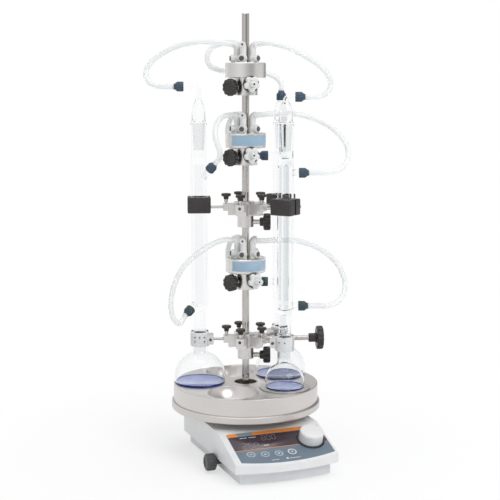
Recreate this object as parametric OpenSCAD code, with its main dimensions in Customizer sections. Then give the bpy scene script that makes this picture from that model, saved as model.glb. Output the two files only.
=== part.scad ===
// Multi-position reflux and extraction station on a magnetic hotplate stirrer.
// +Z is up, the front panel faces -Y, and the origin is under the middle of the
// whole object without its hoses. The stations stand at 90 + 72 k degrees
// round the support rod; three of the five carry glassware.

/* [Housing] */
// Width of the housing cover
cover_w = 173; // [150:1:210]
// Width of the lower tray
tray_w = 153; // [130:1:172]
// Distance from the rod axis forward to the front lip
front_y = 195; // [185:1:230]
// Distance from the rod axis back to the rear face
rear_y = 80; // [74:1:120]
// Height of the cover top above the table
cover_top = 66; // [60:1:90]
// Height of the seam between tray and cover
seam_z = 22; // [18:1:26]
// Height of the top edge of the front lip
lip_z = 33; // [30:1:38]
// Distance from the rod axis to the top of the sloped front
slope_y = 100; // [92:1:110]
// Radius of the bow of the front edge
bow_r = 318; // [260:1:500]
// Wall of the tray and the cover
wall = 3; // [2:0.25:4]
// Height of the rubber feet
foot_h = 3; // [2:0.5:6]
// Radius of the rubber feet
foot_r = 9; // [6:0.5:12]

/* [Control panel] */
// Width of the control panel
panel_w = 159; // [130:1:160]
// Sideways shift of the panel from the middle of the cover
panel_shift = 3.5; // [0:0.5:4]
// Distance down the slope to the top edge of the panel
panel_top = 9; // [6:0.5:14]
// Distance down the slope to the lowest edge of the panel
panel_end = 94; // [90:0.5:95]
// Thickness of the panel
panel_t = 2.2; // [1.8:0.1:3]
// Depth of the panel face under the cover face
panel_inset = 0.3; // [0.1:0.1:0.6]
// Distance down the slope to the top edge of the display window
display_top = 18.5; // [16:0.5:20]
// Height of the display window along the slope
display_h = 35; // [26:0.5:36]
// Radius of a key
key_r = 8; // [6:0.25:9]
// Distance between two keys
key_pitch = 22.5; // [21:0.5:25]
// Travel of a key
key_travel = 0.5; // [0.3:0.1:0.8]
// Radius of the control knob
knob_r = 19.5; // [15:0.5:22]
// Height of the control knob
knob_h = 18; // [12:0.5:24]
// Radius of the control knob's shaft
knob_shaft_r = 3; // [2:0.25:4]

/* [Heating block] */
// Radius of the hotplate's top plate
hot_r = 72.5; // [60:0.5:80]
// Thickness of the hotplate's top plate
hot_t = 10; // [8:0.5:14]
// Radius of the base plate
base_r = 124; // [123:0.5:140]
// Height of the base plate
base_h = 12; // [10:0.5:16]
// Radius of the heating block
block_r = 120.5; // [120.5:0.5:122]
// Height of the block above its seat
block_h = 35.5; // [35.5:0.5:40]
// Radius of the hole in the middle of the block
core_r = 19; // [14:0.5:24]
// Distance from the rod axis to the well centres
well_ring_r = 76.5; // [74:0.5:76.5]

/* [Support rod] */
// Radius of the support rod
rod_r = 6; // [5:0.25:6.5]
// Height of the rod's free end above the table
rod_top_z = 725; // [700:1:850]

/* [Clamp hubs] */
// Radius of the clamp hubs
hub_r = 13.5; // [12:0.25:16]
// Height of the clamp hubs
hub_h = 42; // [36:0.5:46]
// Height of the lower hub's bottom face
lower_hub_z = 158; // [150:1:160]
// Height of the upper hub's bottom face
upper_hub_z = 379; // [372:1:384]
// Reach of a hub arm from the rod axis
arm_reach = 37; // [35:0.5:40]
// Width of a hub arm
arm_w = 17; // [14:0.5:18]
// Height of a hub arm
arm_h = 19; // [16:0.5:20]
// Radius of the clamp rods held in the arms
clamp_rod_r = 2.5; // [2:0.25:3]
// Radius of the thumbscrew heads
thumb_r = 8; // [6:0.25:8.5]
// Height of the thumbscrew heads
thumb_h = 10; // [8:0.5:12]
// Radius of the clamp knobs on the manifolds and the hubs
clamp_knob_r = 14; // [11:0.5:15]
// Length of the clamp knob heads
clamp_knob_l = 12; // [9:0.5:14]
// Radius of the threaded stems of the clamp knobs
stem_r = 4; // [3:0.25:4.5]
// Reach of the lift handle from the rod axis
handle_reach = 130; // [120:1:150]
// Radius of the lift handle's rod
handle_rod_r = 4; // [3:0.25:5]
// Radius of the lift handle's knob
handle_knob_r = 20; // [16:0.5:24]

/* [Manifolds] */
// Radius of the manifold bodies
manifold_r = 33; // [30:0.5:36]
// Height of the manifold bodies
manifold_h = 24; // [21:0.5:28]
// Radius of the collars under the manifold bodies
collar_r = 19.5; // [18:0.5:22]
// Height of the collars
collar_h = 28; // [26:0.5:32]
// Height of the lower manifold's top face
lower_manifold_z = 328; // [324:1:330]
// Height of the middle manifold's top face
middle_manifold_z = 533; // [530:1:536]
// Height of the top manifold's top face
top_manifold_z = 646; // [642:1:650]
// Distance from the rod axis to the outlet risers
outlet_ring_r = 14; // [13:0.5:14.5]
// Height of the outlets above the manifold
outlet_rise = 29; // [26:0.5:32]
// Reach of the outlets from the rod axis
outlet_reach = 21; // [20:0.5:24]
// Radius of the outlets' risers and elbows
outlet_r = 5; // [4:0.25:5.2]
// Radius of the outlets' valve barrels
valve_r = 6.4; // [5:0.2:6.6]
// Reach of the valve barrels from the rod axis
valve_reach = 24; // [21:0.5:27]
// Radius of the inlet taps' handles
tap_r = 13; // [10:0.5:14]

/* [Glassware] */
// Radius of the bulbs of the large flasks
big_flask_r = 42.5; // [40:0.25:43]
// Radius of the bulb of the small flask
small_flask_r = 32.5; // [30:0.25:36]
// Height of the large bulbs' centre above the top of the block
big_bulb_rise = 10.5; // [10:0.25:12]
// Height of the small bulb's centre above the top of the block
small_bulb_rise = 10; // [8:0.25:12]
// Height of the flask rims above the table
rim_z = 206; // [204:0.5:210]
// Radius of the flask necks
neck_r = 12.5; // [12:0.25:14]
// Wall of the glass
glass_t = 1.5; // [1.2:0.1:2]
// Radius of the condenser jackets
jacket_r = 13.5; // [13:0.25:15]
// Radius of the condensers' inner tube
inner_tube_r = 6.5; // [5.5:0.25:7]
// Height of the condenser's top rim above the table
condenser_top_z = 549; // [546:1:552]
// Height of the liquid above the table
liquid_z = 115; // [112:0.5:116]
// Radius of the screw caps on the hose connections
cap_r = 8; // [7:0.25:9]
// Length of the screw caps
cap_l = 18; // [14:0.5:20]
// Radius of the stirring bars
bar_r = 3.5; // [3:0.25:4]
// Length of the stirring bars in the large flasks
big_bar_l = 26; // [20:0.5:30]
// Length of the stirring bar in the small flask
small_bar_l = 20; // [16:0.5:22]
// Radius of the hoses
hose_r = 4.25; // [3.5:0.25:5]

/* [Fits] */
// Radial clearance of turning stems and of the rod
run_gap = 0.05; // [0.02:0.01:0.08]
// Clearance round the sealed pieces, such as the display window
edge_gap = 0.15; // [0.1:0.05:0.3]
// Clearance between curved faces that stand near each other
seat_gap = 0.3; // [0.2:0.05:0.4]
// Clearance of the hot plate in the base plate's recess
plate_gap = 0.5; // [0.3:0.1:1]

/* [Hidden] */
$fn = 96;
POSITIONS = [162, -54, 18];

// Colours
white_plastic = "#e9eaec";
grey_plastic = "#d4d6d9";
panel_grey = "#6f7f90";
dark_plastic = "#2b2a2e";
aluminium = "#b9b4b0";
steel = "#9a9896";
cap_blue = "#2c3f63";
glass = "#cfe3ee";

// Heights of the stack on the hotplate
hot_z = cover_top + 3;
hot_top = hot_z + hot_t;
base_z = hot_top - 2;
block_z = hot_top + 3;
block_top = block_z + block_h;
big_bulb_z = block_top + big_bulb_rise;
small_bulb_z = block_top + small_bulb_rise;

// Sloped front: angle, length, and the outline of the panel
slope_angle = atan((cover_top - lip_z) / (front_y - slope_y));
slope_l = (front_y - slope_y) / cos(slope_angle);
panel_bow_r = bow_r - (slope_l - panel_end);
slope_wall = panel_inset + panel_t + 1;
display_w = panel_w - 2;
display_t = 1.2;
knob_x = 55;
knob_v = 47;
key_v = 71;
first_key_x = -53.5;
knob_ring_r = knob_r + 3.5;
key_flange_r = key_r + 1.5;
board_drop = 13;
side_knob_y = -92;
side_knob_z = 16;

// Middle of the object's box, without the hoses
handle_angle = -16;
box_left = -base_r;
box_right = handle_reach * cos(handle_angle) + handle_knob_r * sin(-handle_angle);
box_front = -front_y;
box_back = base_r;
mid_x = (box_left + box_right) / 2;
mid_y = (box_front + box_back) / 2;

// Clamps
arm_z = hub_h - arm_h - 3;
arm_block_reach = 29;
nose_h = 12;
screw_ring_r = 32;
arm_root_r = arm_w / 2 / sin(36) + 1;
rod_socket_r = 17;
jaw_w = 36;
jaw_d = 38;
jaw_h = 26;
collar_out_r = neck_r + seat_gap + 2.9;
clamp_collar_h = 22;
grip_w = 20;
grip_h = 16;
grip_reach = collar_out_r + 7;
clamp_level = arm_z + arm_h - nose_h / 2;

// Glass joints
big_neck_wall = 2.2;
joint_top_r = neck_r - big_neck_wall - 0.1;
socket_z = 500;
jacket_low = 246;
jacket_high = 481;
taper_l = 11;

// Hose routes, from the outlet to the cap, relative to the rod axis
GAS_LEFT = [[-20, 6.5, 675], [-38, 12.5, 678], [-58, 20, 679.5], [-78, 30, 678.5],
  [-97, 42, 674], [-115, 53, 666], [-131, 62, 655], [-143, 67, 642], [-148, 67, 629],
  [-146, 61, 617], [-138, 52, 610], [-126, 42, 608], [-112.5, 36.5, 608]];
GAS_FRONT = [[12.5, -17, 675], [22, -30, 677], [37, -42, 674.5], [54, -53, 668.5],
  [70, -62, 660], [85, -71, 650], [98, -79, 639], [107, -85, 627], [111, -88, 614.5],
  [109, -87, 602.5], [101, -84, 595], [90, -79, 592], [76, -73.5, 592]];
GAS_BACK = [[0, 21, 675], [-3, 35, 678], [-11, 49, 679.5], [-24, 59, 677], [-38, 63, 668],
  [-44, 63, 655], [-40, 63, 643], [-27, 63, 636], [-10, 63, 633], [8, 62, 632],
  [26, 58, 632], [42, 51, 631], [57, 41, 628], [68, 31, 621], [73, 25, 612], [73, 23.5, 603]];
UPPER_LEFT = [[-20, 6.5, 562], [-32, 9.5, 561], [-43, 8.5, 554], [-50, 4, 543], [-53, -1, 530],
  [-51, -6, 515], [-48, -9.5, 502], [-48.5, -6.5, 492], [-52.5, -1.5, 485.5]];
UPPER_FRONT = [[12.5, -17, 562], [22, -29, 563.5], [37, -35, 565], [54, -36, 565], [71, -35, 564],
  [89, -36, 561], [107, -41, 555], [124, -49, 546], [138, -59, 533], [147, -70, 517],
  [148, -79, 499], [140, -85, 484], [126, -87, 475], [111, -86, 471.5], [96, -81.5, 471],
  [82, -76, 471]];
UPPER_BACK = [[0, 21, 562], [-2, 35, 562.5], [-5, 49, 557], [-8, 58, 545], [-9, 61, 530],
  [-6, 59, 514], [2, 54, 501], [16, 46, 494], [36, 38, 493]];
LOWER_LEFT = [[-20, 6.5, 357], [-34, 9, 357.5], [-50, 6.5, 354], [-66, 3, 348], [-82, 1, 339],
  [-98, 1, 327], [-111, 2.5, 312], [-120, 4.5, 294], [-126, 5, 275], [-129, 4, 257],
  [-128, 2.5, 242], [-123.5, 1.5, 230], [-116, 2.5, 224.5], [-109, 6, 227.5], [-103, 10, 234.5]];
LOWER_FRONT = [[12.5, -17, 357], [22, -29, 358], [37, -35, 359], [54, -36, 358.5], [71, -35, 357],
  [89, -36, 353], [107, -41, 346], [124, -49, 335], [137, -60, 320], [144, -71, 302],
  [144, -80, 283], [136, -86, 267], [123, -88, 257.5], [109, -86.5, 254], [96, -81.5, 254],
  [82, -76, 254]];
LOWER_BACK = [[0, 21, 357], [-2, 35, 357.5], [-5, 49, 352], [-8, 58, 340], [-9, 61, 325],
  [-8, 60, 309], [-4, 57, 294], [4, 52, 283], [18, 45, 279], [36, 38, 279]];

// ---------- helpers ----------

// Everything is placed round the rod axis, then moved so that the box is centred
module at_rod() { translate([-mid_x, -mid_y, 0]) children(); }
module at_well(a) { rotate([0, 0, a]) translate([well_ring_r, 0, 0]) children(); }
module radial(a, z) { rotate([0, 0, a]) translate([0, 0, z]) rotate([0, 90, 0]) children(); }
module on_slope() {
  translate([0, -slope_y, cover_top]) rotate([slope_angle, 0, 0]) children();
}
module ring(r_out, r_in, h) {
  difference() {
    cylinder(r = r_out, h = h);
    translate([0, 0, -1]) cylinder(r = r_in, h = h + 2);
  }
}

// Rectangle from y0 to y1 with round corners
module rounded(w, y0, y1, r) {
  translate([-w / 2, y0 + r]) square([w, y1 - y0 - 2 * r]);
  translate([-w / 2 + r, y0]) square([w - 2 * r, y1 - y0]);
  for (x = [-w / 2 + r, w / 2 - r], y = [y0 + r, y1 - r]) translate([x, y]) circle(r);
}

// Housing outline in plan, with a bowed front edge
module outline(w, front, rear, r) {
  intersection() {
    rounded(w, -front, rear, r);
    translate([0, bow_r - front]) circle(bow_r, $fn = 360);
  }
}

// Cover form: the plan outline under the side profile, drawn in by d
module cover_form(d, z0, drop) {
  intersection() {
    translate([0, 0, z0])
      linear_extrude(cover_top) outline(cover_w - 2 * d, front_y - d, rear_y - d, 12 - d);
    rotate([90, 0, 90]) translate([0, 0, -cover_w])
      linear_extrude(2 * cover_w) polygon([
        [rear_y + 1, z0], [rear_y + 1, cover_top - d], [-slope_y + drop * 0.17, cover_top - d],
        [-slope_y + drop * 0.17, cover_top - drop],
        [-front_y - 1, lip_z - drop - 1 * tan(slope_angle)], [-front_y - 1, z0]]);
  }
}

// Panel outline on the slope, drawn in by d; v runs down the slope
module panel_outline(d) {
  intersection() {
    translate([panel_shift, 0]) rounded(panel_w - 2 * d, -panel_end - 1, -panel_top - d, 4);
    translate([0, panel_bow_r - panel_end + d]) circle(panel_bow_r, $fn = 360);
  }
}
module display_outline(d) {
  translate([panel_shift, -display_top - display_h / 2])
    square([display_w - 2 * d, display_h - 2 * d], center = true);
}

// Knob head with grip flutes, along +Z from the origin
module fluted(r, h, n) {
  difference() {
    cylinder(r = r, h = h);
    for (i = [0:n - 1]) rotate([0, 0, i * 360 / n])
      translate([r + r * 0.12, 0, -1]) cylinder(r = r * 0.24, h = h + 2, $fn = 32);
    translate([0, 0, h]) rotate_extrude() polygon([[r - 1.2, 0.1], [r + 1, 0.1], [r + 1, -2.1]]);
  }
}

// Glass tube bent through a right angle: up by rise, then out along +X by run
module bent_tube(r_out, r_in, rise, bend, run) {
  difference() {
    union() {
      cylinder(r = r_out, h = rise);
      translate([bend, 0, rise]) rotate([90, 0, 180])
        rotate_extrude(angle = 90) translate([bend, 0]) circle(r_out, $fn = 48);
      translate([bend, 0, rise + bend]) rotate([0, 90, 0]) cylinder(r = r_out, h = run);
    }
    translate([0, 0, -1]) cylinder(r = r_in, h = rise + 1);
    translate([bend, 0, rise]) rotate([90, 0, 180])
      rotate_extrude(angle = 90) translate([bend, 0]) circle(r_in, $fn = 48);
    translate([bend, 0, rise + bend]) rotate([0, 90, 0]) cylinder(r = r_in, h = run + 1);
  }
}

// ---------- hotplate ----------

module housing_base() at_rod() color(grey_plastic) difference() {
  union() {
    difference() {
      translate([0, 0, foot_h]) linear_extrude(seam_z - foot_h)
        outline(tray_w, front_y - 12, rear_y - 8, 8);
      translate([0, 0, foot_h + wall]) linear_extrude(seam_z)
        outline(tray_w - 2 * wall, front_y - 12 - wall, rear_y - 8 - wall, 5);
    }
    translate([-tray_w / 2 + 1, side_knob_y - 9, foot_h + wall - 0.5])
      cube([14, 18, seam_z - foot_h - wall]);
  }
  translate([0, side_knob_y, side_knob_z]) rotate([0, -90, 0]) translate([0, 0, tray_w / 2 - 14])
    cylinder(r = stem_r + run_gap, h = 20);
}

module housing_cover() at_rod() color(white_plastic) difference() {
  union() {
    difference() {
      cover_form(0, seam_z, 0);
      cover_form(wall, seam_z + wall, slope_wall);
      translate([0, 0, seam_z - 1]) linear_extrude(wall + 2)
        outline(tray_w - 2 * wall, front_y - 12 - wall, rear_y - 8 - wall, 5);
    }
    translate([0, 0, cover_top]) ring(hot_r - 6, hot_r - 14, hot_z - cover_top);
  }
  on_slope() {
    translate([0, 0, -panel_inset - panel_t]) linear_extrude(6) panel_outline(0);
    translate([0, 0, -slope_wall - 2]) linear_extrude(9) panel_outline(4);
  }
  translate([0, 0, cover_top - wall - 1]) cylinder(r = 35, h = 9);
  translate([-13.6, rear_y - wall - 1, 33]) cube([27.2, 9, 19.2]);
}

module control_panel() at_rod() on_slope() color(panel_grey) difference() {
  translate([0, 0, -panel_inset - panel_t]) linear_extrude(panel_t) panel_outline(edge_gap);
  translate([0, 0, -panel_inset - display_t]) linear_extrude(3) display_outline(0);
  translate([-8, 0, -panel_inset - panel_t - 1]) linear_extrude(5)
    translate([-12, -display_top - display_h / 2]) square([100, display_h - 8], center = true);
  for (i = [0:3]) key_place(i) translate([0, 0, -5]) cylinder(r = key_r + edge_gap, h = 6);
  translate([knob_x, -knob_v, -5]) cylinder(r = knob_shaft_r + 1, h = 8);
}

module display_window() at_rod() on_slope() color("#3a3240") difference() {
  translate([0, 0, -panel_inset - display_t]) linear_extrude(display_t) display_outline(edge_gap);
  translate([knob_x, -knob_v, -3]) cylinder(r = knob_ring_r, h = 5);
}

module key_place(i) {
  x = first_key_x + i * key_pitch;
  v = key_v - (panel_bow_r - sqrt(panel_bow_r * panel_bow_r - x * x));
  translate([x, -v, 0]) children();
}
module key(i) at_rod() on_slope() key_place(i) color("#8fa0b2") {
  translate([0, 0, -panel_inset - panel_t - 0.8]) {
    cylinder(r = key_r, h = panel_t + 1.1);
    cylinder(r = key_flange_r, h = 0.7);
  }
}

module control_knob() at_rod() on_slope() translate([knob_x, -knob_v, 0]) color(white_plastic) {
  translate([0, 0, 1]) difference() {
    union() {
      cylinder(r = knob_r, h = knob_h - 2);
      translate([0, 0, knob_h - 2]) cylinder(r1 = knob_r, r2 = knob_r - 2, h = 2);
    }
    translate([0, 0, -1]) ring(knob_r - 2.5, knob_shaft_r + 3, knob_h - 4);
  }
  translate([0, 0, -board_drop + 1]) cylinder(r = knob_shaft_r, h = board_drop + 1);
}

module top_plate() at_rod() color(aluminium) difference() {
  translate([0, 0, hot_z]) union() {
    cylinder(r = hot_r, h = hot_t - 1);
    translate([0, 0, hot_t - 1]) cylinder(r1 = hot_r, r2 = hot_r - 1, h = 1);
  }
  translate([0, 0, hot_z - 1]) ring(56, 48, 5);
}

motor_shaft_r = 3;
magnet_z = cover_top - wall - 15;
module stir_motor() at_rod() color(steel) {
  translate([0, 0, foot_h + wall]) {
    cylinder(r = 30, h = 27);
    translate([0, 0, 27]) cylinder(r = 9, h = 4);
    cylinder(r = motor_shaft_r, h = magnet_z + 9 - foot_h - wall);
  }
}
module drive_magnet() at_rod() color("#555960") difference() {
  translate([0, 0, magnet_z]) {
    cylinder(r = 10, h = 12);
    translate([-30, -7, 2]) cube([60, 14, 10]);
  }
  translate([0, 0, magnet_z - 1]) cylinder(r = motor_shaft_r + run_gap, h = 10.5);
}

module circuit_board() at_rod() on_slope() color("#2f6b46") {
  translate([-66, -82, -board_drop - 1.6]) cube([136, 56, 1.6]);
  translate([knob_x, -knob_v, -board_drop]) difference() {
    translate([-7, -7, 0]) cube([14, 14, 7]);
    translate([0, 0, 0.8]) cylinder(r = knob_shaft_r + run_gap, h = 8);
  }
  for (i = [0:3]) key_place(i) translate([-3, -3, -board_drop])
    cube([6, 6, board_drop - panel_inset - panel_t - 0.8 - key_travel - 0.2]);
  for (p = [[-60, -30], [66, -30], [-62, -56], [66, -74]]) translate([p[0], p[1], -board_drop])
    cylinder(r = 3, h = board_drop - panel_inset - panel_t, $fn = 24);
}

module side_clamp_knob() at_rod() color(dark_plastic)
  translate([-cover_w / 2 - 1.5, side_knob_y, side_knob_z]) rotate([0, -90, 0]) {
    neck = (cover_w - tray_w) / 2 + 0.5;
    fluted(clamp_knob_r, 16, 10);
    translate([0, 0, -neck]) cylinder(r = 5, h = neck + 0.5);
    translate([0, 0, -neck - 12]) cylinder(r = stem_r, h = 13);
  }

module power_inlet() at_rod() color(dark_plastic) translate([0, rear_y, 42.6]) {
  difference() {
    union() {
      translate([-16, 0, -11]) cube([32, 2, 22]);
      translate([-13.4, -20, -9.4]) cube([26.8, 20.5, 18.8]);
    }
    translate([-11.5, -16, -7.5]) cube([23, 20, 15]);
  }
  for (x = [-6, 0, 6]) translate([x - 1, -17, x == 0 ? 0 : -4]) cube([2, 14, 4]);
}

module feet() at_rod() color("#3a3a3c")
  for (x = [-58, 58], y = [-front_y + 40, rear_y - 26])
    translate([x, y, 0]) cylinder(r = foot_r, h = foot_h);

// ---------- heating block ----------

module base_plate() at_rod() color(aluminium) difference() {
  rotate_extrude($fn = 200) polygon([[0, base_z], [base_r - 1.5, base_z], [base_r, base_z + 1.5],
    [base_r, base_z + base_h - 1.5], [base_r - 1.5, base_z + base_h], [block_r + seat_gap, base_z + base_h],
    [block_r + seat_gap, block_z], [10, block_z], [10, block_z + 20], [0, block_z + 20]]);
  translate([0, 0, base_z - 1]) cylinder(r = hot_r + plate_gap, h = hot_top - base_z + 1);
  translate([0, 0, block_z]) cylinder(r = rod_r, h = 30);
}

module heating_block() at_rod() color(aluminium) difference() {
  union() {
    translate([0, 0, block_z]) cylinder(r = block_r, h = block_h - 1, $fn = 200);
    translate([0, 0, block_top - 1]) cylinder(r1 = block_r, r2 = block_r - 1, h = 1, $fn = 200);
  }
  translate([0, 0, block_z - 1]) cylinder(r = core_r, h = block_h + 2);
  for (k = [0:4]) at_well(90 + 72 * k) translate([0, 0, big_bulb_z])
    sphere(r = big_flask_r + seat_gap);
}

module flask_insert() at_rod() color("#a9a4a0") at_well(-54) difference() {
  intersection() {
    translate([0, 0, big_bulb_z]) sphere(r = big_flask_r);
    translate([0, 0, block_z]) cylinder(r = 60, h = block_h + 1.5);
  }
  translate([0, 0, small_bulb_z]) sphere(r = small_flask_r + seat_gap);
}

module support_rod() at_rod() color(steel) {
  translate([0, 0, block_z]) cylinder(r = rod_r, h = rod_top_z - block_z - 1);
  translate([0, 0, rod_top_z - 1]) cylinder(r1 = rod_r, r2 = rod_r - 1, h = 1);
}

// ---------- clamp hubs ----------

module hub(z, knob_z, knob_a) {
  translate([0, 0, z]) difference() {
    union() {
      cylinder(r = hub_r, h = hub_h);
      translate([0, 0, arm_z - 1]) cylinder(r = arm_root_r, h = arm_h + 2);
      for (a = [90:72:400]) rotate([0, 0, a]) {
        translate([0, -arm_w / 2, arm_z]) cube([arm_block_reach, arm_w, arm_h]);
        translate([0, -arm_w / 2 + 1.5, arm_z + arm_h - nose_h])
          cube([arm_reach, arm_w - 3, nose_h]);
      }
    }
    translate([0, 0, -1]) cylinder(r = rod_r + run_gap, h = hub_h + 2);
    for (a = [90:72:400]) {
      radial(a, clamp_level) translate([0, 0, rod_socket_r])
        cylinder(r = clamp_rod_r + run_gap, h = arm_reach);
      rotate([0, 0, a]) translate([screw_ring_r, 0, clamp_level])
        cylinder(r = 1.5 + run_gap, h = 20, $fn = 32);
    }
    radial(knob_a, knob_z) cylinder(r = stem_r + run_gap, h = 40);
  }
}

module lower_hub() at_rod() color(steel) difference() {
  hub(lower_hub_z, 5, -21);
  radial(handle_angle, lower_hub_z + clamp_level - 1) translate([0, 0, rod_socket_r - 6])
    cylinder(r = handle_rod_r + run_gap, h = 40);
}
module upper_hub() at_rod() color(steel) hub(upper_hub_z, 8, -21);

// Turning clamp knob: the stem's tip stands just off the rod
module clamp_knob(a, z, root) {
  radial(a, z) {
    translate([0, 0, rod_r + seat_gap]) cylinder(r = stem_r, h = root);
    translate([0, 0, root + seat_gap]) cylinder(r = stem_r + 3, h = 6);
    translate([0, 0, root + seat_gap + 6]) fluted(clamp_knob_r, clamp_knob_l, 10);
  }
}
module lower_hub_knob() at_rod() color(dark_plastic) clamp_knob(-21, lower_hub_z + 5, 23);
module upper_hub_knob() at_rod() color(dark_plastic) clamp_knob(-21, upper_hub_z + 8, 23);

module thumbscrews(z) {
  for (a = [90:72:400]) rotate([0, 0, a]) translate([screw_ring_r, 0, z + clamp_level]) {
    translate([0, 0, clamp_rod_r + 0.1]) cylinder(r = 1.5, h = 10, $fn = 32);
    translate([0, 0, nose_h / 2 + 6.5]) difference() {
      cylinder(r = thumb_r, h = thumb_h);
      for (i = [0:5]) rotate([0, 0, i * 60])
        translate([thumb_r + 1, 0, -1]) cylinder(r = 2.4, h = thumb_h + 2, $fn = 32);
    }
    translate([0, 0, nose_h / 2 + 2]) cylinder(r = 3, h = 5, $fn = 32);
  }
}
module lower_thumbscrews() at_rod() color(dark_plastic) thumbscrews(lower_hub_z);
module upper_thumbscrews() at_rod() color(dark_plastic) thumbscrews(upper_hub_z);

// Split collar round a flask neck, its metal grip and its rod
module flask_clamps() at_rod() for (a = POSITIONS) {
  level = lower_hub_z + clamp_level;
  inner = neck_r + seat_gap;
  color(white_plastic) at_well(a) translate([0, 0, level - clamp_collar_h / 2]) difference() {
    ring(collar_out_r, inner, clamp_collar_h);
    translate([0, -1.5, -1]) cube([collar_out_r + 2, 3, clamp_collar_h + 2]);
  }
  color(steel) at_well(a) translate([0, 0, level]) difference() {
    translate([-grip_reach, -grip_w / 2, -grip_h / 2]) cube([13, grip_w, grip_h]);
    translate([0, 0, -grip_h]) cylinder(r = collar_out_r, h = 2 * grip_h);
  }
  color(steel) radial(a, level) translate([0, 0, rod_socket_r + 1])
    cylinder(r = clamp_rod_r, h = well_ring_r - grip_reach - rod_socket_r - 1);
}

// Block jaws that slide along the condenser jackets, and their rods
module condenser_clamps() at_rod() for (a = POSITIONS) {
  level = upper_hub_z + clamp_level;
  color(dark_plastic) at_well(a) translate([0, 0, level + 4]) difference() {
    translate([-jaw_d / 2, -jaw_w / 2, -jaw_h / 2]) cube([jaw_d, jaw_w, jaw_h]);
    translate([0, 0, -jaw_h]) cylinder(r = jacket_r + seat_gap, h = 2 * jaw_h);
    translate([0, -2, -jaw_h]) cube([30, 4, 2 * jaw_h]);
  }
  color(steel) radial(a, level) translate([0, 0, rod_socket_r + 1])
    cylinder(r = clamp_rod_r, h = well_ring_r - jaw_d / 2 - rod_socket_r - 1);
}

module lift_handle() at_rod() {
  radial(handle_angle, lower_hub_z + clamp_level - 1) {
    color(steel) translate([0, 0, rod_socket_r - 5]) cylinder(r = handle_rod_r, h = handle_reach - 30);
    color(dark_plastic) translate([0, 0, handle_reach - 24]) cylinder(r = 7.5, h = 14);
    color(dark_plastic) translate([0, 0, handle_reach - 11]) fluted(handle_knob_r, 11, 12);
  }
}

// ---------- manifolds ----------

knob_level = 13;
inlet_level = 18;
knob_angle = 204;
outlet_bore_r = 2;
outlet_base_r = 6;
spindle_r = 4;
valve_z = 7;

// Round manifold with a closed ring channel, its feed bore and five outlet bores
module manifold(z, inlet_a) {
  difference() {
    union() {
      translate([0, 0, z - manifold_h]) rotate_extrude() polygon([[0, 0], [manifold_r - 0.8, 0],
        [manifold_r, 0.8], [manifold_r, manifold_h - 0.8], [manifold_r - 0.8, manifold_h], [0, manifold_h]]);
      translate([0, 0, z - manifold_h - collar_h]) cylinder(r = collar_r, h = collar_h + 1);
    }
    translate([0, 0, z - 70]) cylinder(r = rod_r + run_gap, h = 80);
    translate([0, 0, z - 17]) ring(18, 11, 9);
    for (a = [90:72:400]) rotate([0, 0, a]) translate([outlet_ring_r, 0, z - 12])
      cylinder(r = 2, h = 20, $fn = 32);
    rotate([0, 0, inlet_a]) translate([14.5, 0, z - manifold_h - 14]) cylinder(r = 1.8, h = 26, $fn = 32);
    radial(inlet_a, z - manifold_h - collar_h + inlet_level) translate([0, 0, 13])
      cylinder(r = stem_r + run_gap, h = 20);
    radial(knob_angle, z - manifold_h - collar_h + knob_level) cylinder(r = stem_r + run_gap, h = 40);
  }
}
module top_manifold() at_rod() color("#c4c2c0") manifold(top_manifold_z, 264);
module middle_manifold() at_rod() color("#c4c2c0") manifold(middle_manifold_z, 264);
module lower_manifold() at_rod() color("#c4c2c0") manifold(lower_manifold_z, 274);

module manifold_knob(z) {
  clamp_knob(knob_angle, z - manifold_h - collar_h + knob_level, 22);
}
module top_clamp_knob() at_rod() color(dark_plastic) manifold_knob(top_manifold_z);
module middle_clamp_knob() at_rod() color(dark_plastic) manifold_knob(middle_manifold_z);
module lower_clamp_knob() at_rod() color(dark_plastic) manifold_knob(lower_manifold_z);

// Lobed tap handle on a bored spigot, with the supply nozzle at its end
module inlet_tap(z, a) {
  radial(a, z - manifold_h - collar_h + inlet_level) difference() {
    union() {
      translate([0, 0, 13.3]) cylinder(r = stem_r, h = 24);
      translate([0, 0, collar_r + 1]) cylinder(r = 6.5, h = manifold_r - collar_r);
      translate([0, 0, manifold_r + 1]) difference() {
        cylinder(r = tap_r, h = 9);
        for (i = [0:4]) rotate([0, 0, i * 72])
          translate([tap_r + 2.5, 0, -1]) cylinder(r = 5.5, h = 11, $fn = 32);
      }
      translate([0, 0, manifold_r + 9]) cylinder(r = 4.5, h = 4);
      translate([0, 0, manifold_r + 13]) cylinder(r1 = 4.2, r2 = 3.2, h = 8);
    }
    translate([0, 0, 16]) cylinder(r = 1.8, h = 60, $fn = 32);
  }
}
module top_inlet_tap() at_rod() color(white_plastic) inlet_tap(top_manifold_z, 264);
module middle_inlet_tap() at_rod() color(white_plastic) inlet_tap(middle_manifold_z, 264);
module lower_inlet_tap() at_rod() color(white_plastic) inlet_tap(lower_manifold_z, 274);

// Outlet: riser with its elbow, valve barrel across it, and the dark end of the shut-off spindle
module outlet() {
  bend = outlet_r + 0.3;
  translate([outlet_ring_r, 0, 0]) {
    color(white_plastic) cylinder(r = outlet_base_r, h = valve_z);
    color(white_plastic) bent_tube(outlet_r, outlet_bore_r, outlet_rise - bend, bend,
      outlet_reach - outlet_ring_r - bend);
  }
  translate([0, 0, valve_z]) rotate([0, 90, 0]) {
    color(white_plastic) translate([0, 0, outlet_ring_r - 2.5]) difference() {
      cylinder(r = valve_r, h = valve_reach - outlet_ring_r + 2.5);
      translate([-outlet_rise, -outlet_rise, -1]) cube([outlet_rise, 2 * outlet_rise, 1]);
    }
    color(dark_plastic) translate([0, 0, valve_reach - 1]) cylinder(r = spindle_r, h = 3);
  }
}
module outlet_elbows() at_rod()
  for (z = [lower_manifold_z, middle_manifold_z, top_manifold_z], a = [90:72:400])
    translate([0, 0, z]) rotate([0, 0, a]) outlet();

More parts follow.
